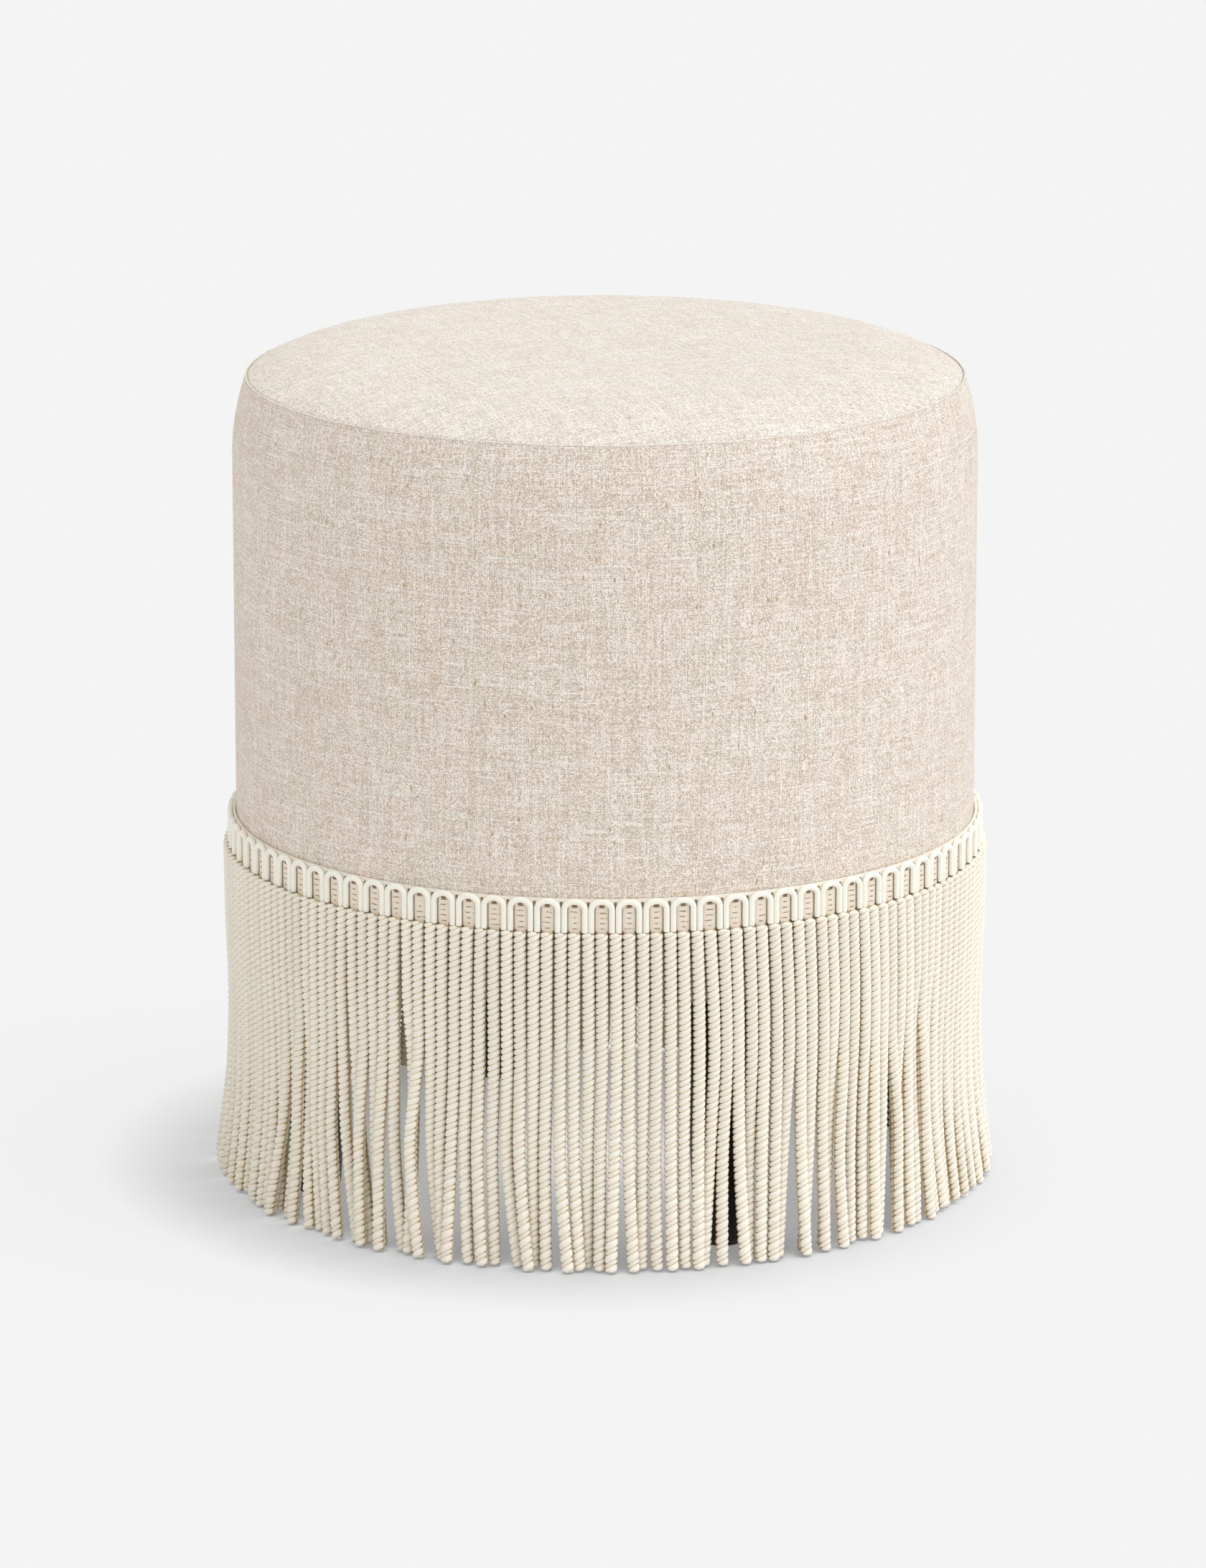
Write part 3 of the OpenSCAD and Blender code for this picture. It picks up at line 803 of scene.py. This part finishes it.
def dust_cover():
    low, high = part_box("dust_cover")
    reach = high.x
    steps = np.linspace(0, 1, 30)
    sag = DUST_SAG * np.sin(np.clip(steps * 1.45, 0, 1) * math.pi) ** 2
    under = wall_line(reach * steps, low.z - sag)
    over = under[::-1] + [0, high.z - low.z]
    piece = lathe("dust_cloth", np.vstack([under, over]), DUST_CLOTH, evenly(144))
    ride(piece, "dust_cloth", "dust_cover")


# Geometry trees in few words

def geo(tree, kind, inputs=None, output=0, **settings):
    return add(tree, "GeometryNode" + kind, inputs, output, **settings)


def line_tree(name, sizes, counts):
    """A geometry tree with named inputs, which starts from its object's edges as curves."""
    inputs = [(GEOMETRY, "Lines"), *sockets(NUMBER, sizes), *sockets(COUNT, counts),
              (MATERIAL, "Material")]
    tree, given, result = group("GeometryNodeTree", name, inputs, [(GEOMETRY, "Geometry")])
    return tree, given, geo(tree, "MeshToCurve", {"Mesh": given["Lines"]}), result


def facing(line, way):
    """Sets which way a line's section faces."""
    return geo(line.tree, "SetCurveNormal", {"Curve": line, "Normal": way}, mode="FREE")


def stored(geometry, name, value, kind="FLOAT"):
    """A geometry with a value kept on its points, under a name."""
    inputs = {"Geometry": geometry, "Name": name, "Value": value}
    return geo(geometry.tree, "StoreNamedAttribute", inputs, data_type=kind, domain="POINT")


def swept(line, section, **inputs):
    """A closed and smooth tube along a line."""
    inputs = {"Curve": line, "Profile Curve": section, "Fill Caps": True, **inputs}
    tube = geo(line.tree, "CurveToMesh", inputs)
    return geo(line.tree, "SetShadeSmooth", {"Geometry": tube})


def end_tree(geometry, result, made_of):
    real = geo(geometry.tree, "RealizeInstances", {"Geometry": geometry})
    real = geo(geometry.tree, "SetMaterial", {"Geometry": real, "Material": made_of})
    put(result, "Geometry", real)


def grow(name, verts, edges, tree, inputs, **values):
    """A plain mesh that a geometry tree makes from lines, whose points may carry named values."""
    mesh = bpy.data.meshes.new(name)
    mesh.from_pydata([tuple(p) for p in verts], edges, [])
    piece = shown(name, mesh)
    for label, numbers in values.items():
        store = mesh.attributes.new(label, "FLOAT", "POINT")
        store.data.foreach_set("value", numbers.astype(np.float32))
    modifier = piece.modifiers.new("grow", "NODES")
    modifier.node_group = tree
    for socket in tree.interface.items_tree:
        if socket.in_out == "INPUT" and socket.name in inputs:
            modifier[socket.identifier] = inputs[socket.name]
    return face_out(baked(piece))


# The header: a woven tape, and the loops that stand on it

TAPE_COLUMNS = LOOP_COUNT * 12
PANEL_BULGE = 1.3 * MM
PANEL_HALF_W = LOOP_W / 2 - LOOP_CORD_W + 0.1 * MM
# How far a loop may be turned from its even place, by chance, in radians
LOOP_UNEVEN = 0.0006
LOOP_SEED = 4
ARCH_H = 4.5 * MM
# The arch is a little squarer than half a circle
ARCH_POWER = 2 / 2.1


def tape_shift(radius, height, angles):
    """Fine ribs run round the tape, and inside each loop it swells out to the loop's height."""
    outside = radius > (TAPE_IN_R + TAPE_OUT_R) / 2
    cell = (angles - FIRST_LOOP) / LOOP_STEP % 1
    off = np.minimum(cell, 1 - cell) * LOOP_PITCH
    above = height - HEADER_Z
    swell = np.clip(1 - (off / PANEL_HALF_W) ** 4, 0, 1) * np.clip(
        (ARCH_IN_H + 0.4 * MM - above) / (1.2 * MM), 0, 1)
    row = np.abs((above / STITCH_PITCH) % 1 - 0.5) * STITCH_PITCH
    dent = np.exp(-(row / (0.35 * MM)) ** 2) * np.exp(-(off / (1.2 * MM)) ** 2)
    rib = 0.06 * MM * np.sin(above / TAPE_RIB * TURN)
    return radius + np.where(outside, PANEL_BULGE * swell * (1 - 0.45 * dent) + rib, 0), height


def header_tape():
    outer = wall_line(TAPE_OUT_R, np.linspace(HEADER_Z, TAPE_TOP_Z, 84))
    inner = [[TAPE_IN_R, TAPE_TOP_Z], [TAPE_IN_R, HEADER_Z]]
    start = FIRST_LOOP - LOOP_STEP / 2
    piece = lathe("header_tape", np.vstack([outer, inner]), TAPE, evenly(TAPE_COLUMNS, start),
                  tape_shift)
    # Across: loops counted from the first one's left edge. Up: metres above the tape's lower edge
    mesh = piece.data
    layer = mesh.uv_layers["UVMap"].data
    for face in mesh.polygons:
        corners = [mesh.vertices[i].co for i in face.vertices]
        turns = [(math.atan2(c.y, c.x) - start) % TURN for c in corners]
        if max(turns) - min(turns) > math.pi:
            turns = [t + TURN if t < math.pi else t for t in turns]
        for loop, corner, turned in zip(face.loop_indices, corners, turns):
            layer[loop].uv = (turned / TURN * LOOP_COUNT, corner.z - HEADER_Z)
    ride(piece, "fringe_yarn")


def loop_tree():
    """Bends one cord along the given line, flattens it, and sets copies of it round the drum."""
    tree, given, line, result = line_tree(
        "loops_round_the_drum", "First turn, Width, Depth, Unevenness", "Count, Seed")
    ring = geo(tree, "CurvePrimitiveCircle", {"Resolution": 12, "Radius": 0.5})
    size = join(given["Depth"], given["Width"], 1.0)
    ring = geo(tree, "Transform", {"Geometry": ring, "Scale": size})
    bent = swept(facing(line, (1, 0, 0)), ring)
    places = geo(tree, "MeshLine", {"Count": given["Count"], "Offset": (0, 0, 0)})
    uneven = given["Unevenness"]
    inputs = {"Seed": given["Seed"], 2: uneven * -1.0, 3: uneven}
    chance = add(tree, "FunctionNodeRandomValue", inputs, 1, data_type="FLOAT")
    turn = geo(tree, "InputIndex") * (TURN / given["Count"]) + given["First turn"] + chance
    way = add(tree, "FunctionNodeEulerToRotation", {0: join(0.0, 0.0, turn)})
    placed = geo(tree, "InstanceOnPoints", {"Points": places, "Instance": bent, "Rotation": way})
    end_tree(placed, result, given["Material"])
    return tree


def header_loops():
    half = (LOOP_W - LOOP_CORD_W) / 2
    middle_r = TAPE_OUT_R + 0.1 * MM + LOOP_CORD_DEPTH / 2
    arch_z = TAPE_TOP_Z + LOOP_RISE - LOOP_CORD_W / 2 - ARCH_H
    turn = np.linspace(0, math.pi, 13)
    arch_y = half * np.sign(np.cos(turn)) * np.abs(np.cos(turn)) ** ARCH_POWER
    leg = np.linspace(CORD_TOP_Z + 0.1 * MM, arch_z, 5)[:-1]
    y = np.concatenate([np.full(len(leg), half), arch_y, np.full(len(leg), -half)])
    z = np.concatenate([leg, arch_z + ARCH_H * np.abs(np.sin(turn)) ** ARCH_POWER, leg[::-1]])
    verts = np.stack([np.full(len(y), middle_r), y, z], 1)
    inputs = {"Count": LOOP_COUNT, "First turn": FIRST_LOOP, "Width": LOOP_CORD_W, "Depth": LOOP_CORD_DEPTH,
              "Unevenness": LOOP_UNEVEN, "Seed": LOOP_SEED, "Material": LOOP_YARN}
    piece = grow("loop_cords", verts, [(i, i + 1) for i in range(len(verts) - 1)], loop_tree(), inputs)
    ride(piece, "fringe_yarn", "header_loops")


# The twisted cords

ROUTE_POINTS = 26
STEPS_PER_LEAD = 12
RING_POINTS = 12
CORD_HEAD = 1.0 * MM
CORD_TIP = 1.8 * MM
# Distance of the cords' middles from the drum's axis, by height, as the outline shows it
HANG_Z = np.array([0, 5, 21, 37, 54, 86, 118, 151, 180]) * MM
HANG_R = np.array([211.5, 211.0, 208.9, 206.6, 204.9, 204.3, 205.4, 206.6, 207.1]) * MM
# A cord can't go further in than this: round the drum it lies on the cover, and further down it is free
TUCK_Z = np.array([98, 138]) * MM
TUCK_R = np.array([199.5 * MM, BODY_R + CORD_R])
MOST_OUT = 2.5 * MM
# How the cords at the front hang in the photo, from the left to the right, as millimetres to the right
# of their heads at three heights. The last row tells which ends stand in front of the others (1) and
# which ones are tucked behind them (-1)
FRONT_FIRST = -56.5
SWING_LEVELS = np.array([0, 20, 60, 112, 150, 184]) * MM
HIGH_SWING = [0, -0.3, -0.8, -1.3, -1.7, -2.1, -2.3, -2.4, -0.5, -0.9, -1.3, -1.8, -2.4, 0.4, -0.8, -0.9,
              -1.5, -1.5, -1.6, -1.7, -0.4, -0.4, -0.3, -0.6, -0.6, -0.5, -0.3, 0.2, 0.4, 0.7, 0.3, 0.4,
              0.3, 0.7, 1.4, 2.1, 3.7, 3.1, 2.4, 2.9, 2.9, 3.4, 3.8, 3.5, 3.4, 3.7, 3.7, 2.9, 3, 3.9, 4.2,
              3.4, 2.6, 3.3, 3.2, 2.6, 1.5]
LOW_SWING = [0, 0, 0, -4, -4, -4, -3.0, -1.8, 0.4, -2.7, -2, -3.8, -3.1, 0.5, -5.5, -2.3, -2.6, -2.5,
             -2.4, -2.2, -1.9, -1.3, -0.7, -0.9, -1.2, -1.1, -0.7, -0.6, -0.9, -0.8, -0.6, -0.4, -0.7,
             -0.3, 0.1, 0.4, 0.6, -0.6, 1.6, 1.4, 0.1, 0.6, -0.1, 1.6, 1.7, 1.6, 0.8, -3.1, 0.6, 3, 1.4,
             3.7, 6, 2.1, 3.7, 4, 1]
END_SWING = [-4.2, -1.9, 1.4, 6.5, 7, 7.5, 10.4, 12.5, 14.1, 4.7, 6.6, 2, 6.2, 3.6, 4.6, 5.6, 2.5, -0.9,
             2.8, 4.2, 2, 7.7, 7.3, 0.7, 1.3, 5.2, 3.2, -0.4, -1.3, -3.1, 2.1, -1.6, -0.3, -1.5, -0.6,
             -1.3, -4.4, -3.4, 2, -1.9, -3.2, -4.5, -6.4, -0.3, -4.9, -2.6, -6.3, -4.6, -4, -2.1, -3.8,
             -5, -1.5, -2.5, -2.9, -3.5, -0.4]
END_PLACE = [0, -1, 1, 0, -1, 0, 1, -1, -1, 1, -1, 1, -1, -1, 1, -1, -1, 1, 0, 1, -1, -1, 1, -1, 0, 1, -1,
             -1, 0, 1, 1, -1, 0, 1, 0, 1, -1, 0, 1, -1, 0, 1, -1, 1, -1, 0, -1, 1, -1, -1, 1, -1, 1, -1,
             0, 0, 1]
FRONT_COUNT = len(END_PLACE)
# Other partings: degrees right of the camera's line, the height in millimetres where the parting starts
# and its width at the floor in millimetres
PARTINGS = [(-67, 110, 2), (61.6, 75, 2.6), (69, 50, 2.2), (170.5, 100, 6), (174.7, 100, 6), (197.4, 100,
            6)]
SIDE_REACH = 78
FRONT_OUT = 5.0
FRONT_MOST_OUT = 8.5 * MM
SWING_Z = 80 * MM
# How the cords settle against each other
SETTLE_ROUNDS = 200
PRESSED = 0.2 * MM
GIVE_ALONG, GIVE_OUT = 0.12, 0.45
BACK_ALONG, BACK_OUT = 0.15, 0.02
EVEN_ALONG, EVEN_OUT = 0.25, 0.15


def nearest_cord(degrees):
    """The number of the cord whose head is nearest to a turn right of the camera's line."""
    return round((CAMERA_POLAR + math.radians(degrees) - FIRST_CORD) / CORD_STEP) % CORD_COUNT


def fringe_partings(chance):
    """The partings beside and behind, each as the cord on its right, its start and its width."""
    found = []
    degrees = SIDE_REACH
    while degrees < 360 - SIDE_REACH:
        found.append((degrees, chance.uniform(20, 110), chance.uniform(1.5, 4.5)))
        degrees += chance.uniform(3.5, 7)
    places = {nearest_cord(degrees + 1): (start_z * MM, width * MM)
              for degrees, start_z, width in found + PARTINGS}
    return sorted((cord, *values) for cord, values in places.items())


def hanging_places(height, chance):
    """Where each cord would hang sideways at each height, if it met no other cord."""
    wanted = np.zeros_like(height)
    partings = fringe_partings(chance)
    for number, (right, start_z, width) in enumerate(partings):
        after = partings[(number + 1) % len(partings)][0]
        before = partings[number - 1][0]
        opened = 0.5 * width * np.clip((start_z - height) / start_z, 0, 1) ** 0.6
        for step in range((right - before) % CORD_COUNT):
            cord = (right - 1 - step) % CORD_COUNT
            wanted[:, cord] -= opened[:, cord] * math.exp(-step / 1.4)
        # The cords between two partings swing together near the floor
        swing = chance.normal(0, 2.4) * MM
        for step in range((after - right) % CORD_COUNT):
            cord = (right + step) % CORD_COUNT
            wanted[:, cord] += opened[:, cord] * math.exp(-step / 1.4)
            wanted[:, cord] += swing * np.clip(1 - height[:, cord] / SWING_Z, 0, 1) ** 1.6
    first = nearest_cord(FRONT_FIRST)
    for number, (high, low, end) in enumerate(zip(HIGH_SWING, LOW_SWING, END_SWING)):
        cord = (first + number) % CORD_COUNT
        swings = np.array([end, low + 0.6 * (end - low), low, high, 0.55 * high, 0]) * MM
        wanted[:, cord] = np.interp(height[:, cord], SWING_LEVELS, swings)
    return wanted


def settle_cords():
    """The run of every cord from the header to its end: points as (cord, level, xyz)."""
    chance = np.random.default_rng(21)
    base = FIRST_CORD + CORD_STEP * np.arange(CORD_COUNT)
    ends = chance.uniform(0.35, 2.3, CORD_COUNT) * MM
    down = np.linspace(0, 1, ROUTE_POINTS)[:, None]
    front = (nearest_cord(FRONT_FIRST) + np.arange(FRONT_COUNT)) % CORD_COUNT
    ends[front] = chance.uniform(0.35, 1.0, FRONT_COUNT) * MM
    height = CORD_TOP_Z + (ends[None] - CORD_TOP_Z) * down
    low = np.clip(1 - height / (110 * MM), 0, 1)
    # Two cords hang from each loop, a little nearer to each other than to the next pair
    other = np.where(np.arange(CORD_COUNT) % 2 == 0, -1, 1)
    pair = other * 0.12 * MM
    target = pair + hanging_places(height, chance) + chance.normal(0, 0.3, CORD_COUNT) * MM * low ** 1.5
    # Every other cord gives way inwards where they crowd
    yielding = other * chance.choice([1, 1, 1, -1], CORD_COUNT) * chance.uniform(0.2, 1.3, CORD_COUNT)
    turned = np.radians(FRONT_FIRST + 2.0 * np.arange(FRONT_COUNT))
    yielding[front] = FRONT_OUT * np.cos(turned) ** 4 + 2.4 * np.array(END_PLACE)
    most_out = np.full(CORD_COUNT, MOST_OUT)
    most_out[front] = FRONT_MOST_OUT
    rest_r = np.interp(height, HANG_Z, HANG_R)
    most_r = rest_r + 0.3 * MM + most_out * low ** 0.7
    rest_r = rest_r + yielding * MM * low ** 0.8
    least_r = np.interp(height, TUCK_Z, TUCK_R)
    side, radius = target.copy(), rest_r.copy()
    for _ in range(SETTLE_ROUNDS):
        for hop in (1, 2, 3):
            along = hop * CORD_STEP * radius + np.roll(side, -hop, 1) - side
            outward = np.roll(radius, -hop, 1) - radius
            gap = np.hypot(along, outward)
            push = np.clip(2 * CORD_R - PRESSED - gap, 0, None) / np.maximum(gap, 1e-6)
            side_push, out_push = GIVE_ALONG * push * along, GIVE_OUT * push * outward
            side = side - side_push + np.roll(side_push, hop, 1)
            radius = radius - out_push + np.roll(out_push, hop, 1)
        side += BACK_ALONG * (target - side)
        radius += BACK_OUT * (rest_r - radius)
        radius = np.clip(radius, least_r, most_r)
        side[0], radius[0] = pair, np.interp(CORD_TOP_Z, HANG_Z, HANG_R)
        side[1:-1] += EVEN_ALONG * (side[2:] + side[:-2] - 2 * side[1:-1])
        radius[1:-1] += EVEN_OUT * (radius[2:] + radius[:-2] - 2 * radius[1:-1])
    angle = base + side / radius
    points = np.stack([radius * np.cos(angle), radius * np.sin(angle), height], -1)
    return points.transpose(1, 0, 2), chance


def cord_tree():
    """Sweeps a two-strand twisted section along every line. A line's own attribute sets its start."""
    tree, given, line, result = line_tree(
        "twisted_cord", "Radius, Valley, Lead, Head, Tip", "Steps, Points")
    line = geo(tree, "CurveSplineType", {"Curve": line}, spline_type="CATMULL_ROM")
    line = geo(tree, "SetSplineResolution", {"Geometry": line, "Resolution": 8})
    step = given["Lead"] / given["Steps"]
    line = geo(tree, "ResampleCurve", {"Curve": line, "Length": step}, mode="LENGTH")
    outward = scaled(geo(tree, "InputPosition"), (1, 1, 0))
    line = facing(line, outward)
    run = geo(tree, "SplineParameter", output="Length")
    whole = geo(tree, "SplineLength", output="Length")
    turns = run * (TURN / given["Lead"]) + geo(tree, "InputNamedAttribute", {"Name": "phase"})
    line = geo(tree, "SetCurveTilt", {"Curve": line, "Tilt": turns})
    line = stored(stored(line, "along", run), "middle", length_of(outward))
    # The head is cut almost straight, the tip is rounded
    share = ((run / given["Head"]).min((whole - run) / given["Tip"]) + 0.06).min(1.0)
    left = 1.0 - share
    size = (1.0 - left * left).sqrt()
    # The section: points crowd towards the two valleys
    part = geo(tree, "InputIndex") / (given["Points"] / 2.0)
    turn = (part - (part * TURN).sin() * (0.6 / TURN)) * math.pi
    cos, sin = turn.cos(), turn.sin()
    groove = (1.0 - abs(sin)) ** 1.5
    reach = given["Radius"] - groove * given["Valley"]
    section = geo(tree, "CurvePrimitiveCircle", {"Resolution": given["Points"]})
    section = stored(section, "groove", groove)
    section = stored(section, "around", join(cos, sin, 0.0), "FLOAT_VECTOR")
    section = geo(tree, "SetPosition", {"Geometry": section,
                                        "Position": join(cos * reach, sin * reach, 0.0)})
    # How far a point lies outside its cord's middle, from -1 to 1
    middle = geo(tree, "InputNamedAttribute", {"Name": "middle"})
    reached = (length_of(outward) - middle) / given["Radius"]
    cord = stored(swept(line, section, Scale=size), "outward", reached)
    end_tree(cord, result, given["Material"])
    return tree


def fringe_cords():
    routes, chance = settle_cords()
    tree = cord_tree()
    tones = chance.uniform(0.96, 1.03, CORD_COUNT)
    phases = math.pi / 2 + chance.normal(0, 0.12, CORD_COUNT)
    edges = [(k * ROUTE_POINTS + i, k * ROUTE_POINTS + i + 1)
             for k in range(CORDS_PER_SLICE) for i in range(ROUTE_POINTS - 1)]
    inputs = {"Radius": CORD_R, "Valley": CORD_VALLEY, "Lead": CORD_LEAD, "Steps": STEPS_PER_LEAD,
              "Points": RING_POINTS, "Head": CORD_HEAD, "Tip": CORD_TIP, "Material": YARN}
    for number in range(SLICE_COUNT):
        own = slice(number * CORDS_PER_SLICE, (number + 1) * CORDS_PER_SLICE)
        piece = grow(f"bullion_cords_{number + 1:02d}", routes[own].reshape(-1, 3), edges, tree, inputs,
                     phase=np.repeat(phases[own], ROUTE_POINTS), tone=np.repeat(tones[own], ROUTE_POINTS))
        ride(piece, "fringe_yarn", f"fringe_{number + 1:02d}")


# Finishes of the frame's own nodes

def finish_nodes():
    finishes = {"leg_glide": GLIDE, "leg": ESPRESSO, "frame_post": PINE, "seat_board": PLY,
                "base_board": PLY, "drum_wall": HARDBOARD, "hanger_bolts": ZINC, "t_nuts": ZINC}
    for name, node in NODES.items():
        if name.endswith(("screws", "staples")):
            finish = ZINC
        else:
            finish = next((made for start, made in finishes.items() if name.startswith(start)), None)
        if finish is not None:
            node.data.materials.clear()
            node.data.materials.append(finish)


# Floor, light and camera

FLOOR_HALF = 20
FLOOR_PLAIN = 0.85
BACKDROP = 0.905
# What the camera sees of the floor: a steady glow, a painted shadow close to a thing on the side turned
# away from the light, a painted shade all round a thing, and lit paper. They add up to the backdrop
FLOOR_STEADY = 0.283
FLOOR_CONTACT = 0.47
FLOOR_ROUND = 0.05
FLOOR_LIT = 0.09
CONTACT_REACH = 0.07
ROUND_REACH = 0.2
CONTACT_RIGHT = math.radians(115)
CONTACT_UP = math.radians(30)
WORLD_LEVEL = 0.755
WORLD_TINT = (1.0, 0.97, 0.935, 1)
WHITE = (1, 1, 1, 1)
KEY_STRENGTH = 1.5
KEY_TINT = (0.985, 1.0, 1.03)
KEY_RIGHT = math.radians(75)
KEY_UP = math.radians(56.6)
KEY_SOFTNESS = math.radians(60)
KEY_FAR = 3
# The photo shows the inside of the fringe in a dim warm light
GLOW_POWER = 0.18
GLOW_TINT = (1.0, 0.88, 0.66)
GLOW_R = 40 * MM
GLOW_Z = 80 * MM
LENS = 183.27
SENSOR_W = 36
CAMERA_FAR = 4.397
CAMERA_CLIP = 60
AIM_Z = 0.2127
AIM_LEFT = 1.19 * MM


def empty_tree(owner):
    owner.use_nodes = True
    owner.node_tree.nodes.clear()
    return owner.node_tree


def seen_straight(tree):
    """1 for what the camera, a gloss or a glass sees directly."""
    camera_ray, gloss_ray, glass_ray = (add(tree, "ShaderNodeLightPath", output=f"Is {kind} Ray")
                                        for kind in ("Camera", "Glossy", "Transmission"))
    return camera_ray.max(gloss_ray).max(glass_ray)


def direction(polar, up):
    """The way to a thing at a turn round Z and a height angle."""
    return Vector((math.cos(polar) * math.cos(up), math.sin(polar) * math.cos(up), math.sin(up)))


def floor():
    verts = [(x * FLOOR_HALF, y * FLOOR_HALF, 0) for x, y in ((-1, -1), (1, -1), (1, 1), (-1, 1))]
    made = bpy.data.materials.new("studio_floor")
    tree = empty_tree(made)
    lit = add(tree, "ShaderNodeBsdfDiffuse", {"Color": (FLOOR_LIT,) * 3 + (1,)})
    shade_side = direction(CAMERA_POLAR + CONTACT_RIGHT, CONTACT_UP)
    shade_side = add(tree, "ShaderNodeCombineXYZ", dict(enumerate(shade_side)))
    near = add(tree, "ShaderNodeAmbientOcclusion", {"Distance": CONTACT_REACH, "Normal": shade_side}, "AO")
    above = add(tree, "ShaderNodeAmbientOcclusion", {"Distance": ROUND_REACH}, "AO")
    # Beside a thing at least half of the sky is open, so less than that is a place under it, which gets
    # painted shade
    beside = ramp(above, 0.15, 0.5)
    level = (near * FLOOR_CONTACT + above * FLOOR_ROUND) * beside + FLOOR_STEADY
    lift = add(tree, "ShaderNodeEmission", {"Color": WHITE, "Strength": level})
    look = add(tree, "ShaderNodeAddShader", {0: lit, 1: lift})
    plain = add(tree, "ShaderNodeBsdfDiffuse", {"Color": (FLOOR_PLAIN,) * 3 + (1,)})
    shader = add(tree, "ShaderNodeMixShader", {0: seen_straight(tree), 1: plain, 2: look})
    new_node(tree, "ShaderNodeOutputMaterial", {"Surface": shader})
    piece = piece_of("floor", verts, [[0, 1, 2, 3]], made)


def lamp(name, kind, energy, colour, place, **settings):
    light = bpy.data.lights.new(name, kind)
    light.energy = energy
    light.color = colour
    for key, value in settings.items():
        setattr(light, key, value)
    made = shown(name, light)
    made.location = place
    return made


def lights():
    world = bpy.data.worlds.new("studio")
    bpy.context.scene.world = world
    tree = empty_tree(world)
    soft = add(tree, "ShaderNodeBackground", {"Color": WORLD_TINT, "Strength": WORLD_LEVEL})
    backdrop = add(tree, "ShaderNodeBackground", {"Color": WHITE, "Strength": BACKDROP})
    light = add(tree, "ShaderNodeMixShader", {0: seen_straight(tree), 1: soft, 2: backdrop})
    new_node(tree, "ShaderNodeOutputWorld", {"Surface": light})
    way = direction(CAMERA_POLAR + KEY_RIGHT, KEY_UP)
    key = lamp("key", "SUN", KEY_STRENGTH, KEY_TINT, way * KEY_FAR, angle=KEY_SOFTNESS)
    key.rotation_euler = way.to_track_quat("Z", "Y").to_euler()
    lamp("under_the_drum", "POINT", GLOW_POWER, GLOW_TINT, (0, 0, GLOW_Z), shadow_soft_size=GLOW_R)


def camera():
    """The photo's own view, fitted to its outline, its header and the feet of its legs."""
    data = bpy.data.cameras.new("camera")
    data.lens = LENS
    data.sensor_width = SENSOR_W
    data.sensor_fit = "AUTO"
    data.clip_end = CAMERA_CLIP
    eye = shown("camera", data)
    back = direction(CAMERA_POLAR, CAMERA_ELEVATION)
    right = Vector((math.cos(CAMERA_AZIMUTH), math.sin(CAMERA_AZIMUTH), 0))
    eye.location = Vector((0, 0, AIM_Z)) + CAMERA_FAR * back - AIM_LEFT * right
    eye.rotation_euler = back.to_track_quat("Z", "Y").to_euler()
    bpy.context.scene.camera = eye


camera()
top_cover()
side_cover()
seat_pads()
side_padding()
dust_cover()
header_tape()
header_loops()
fringe_cords()
finish_nodes()
floor()
lights()
bpy.context.scene.view_settings.view_transform = "Standard"
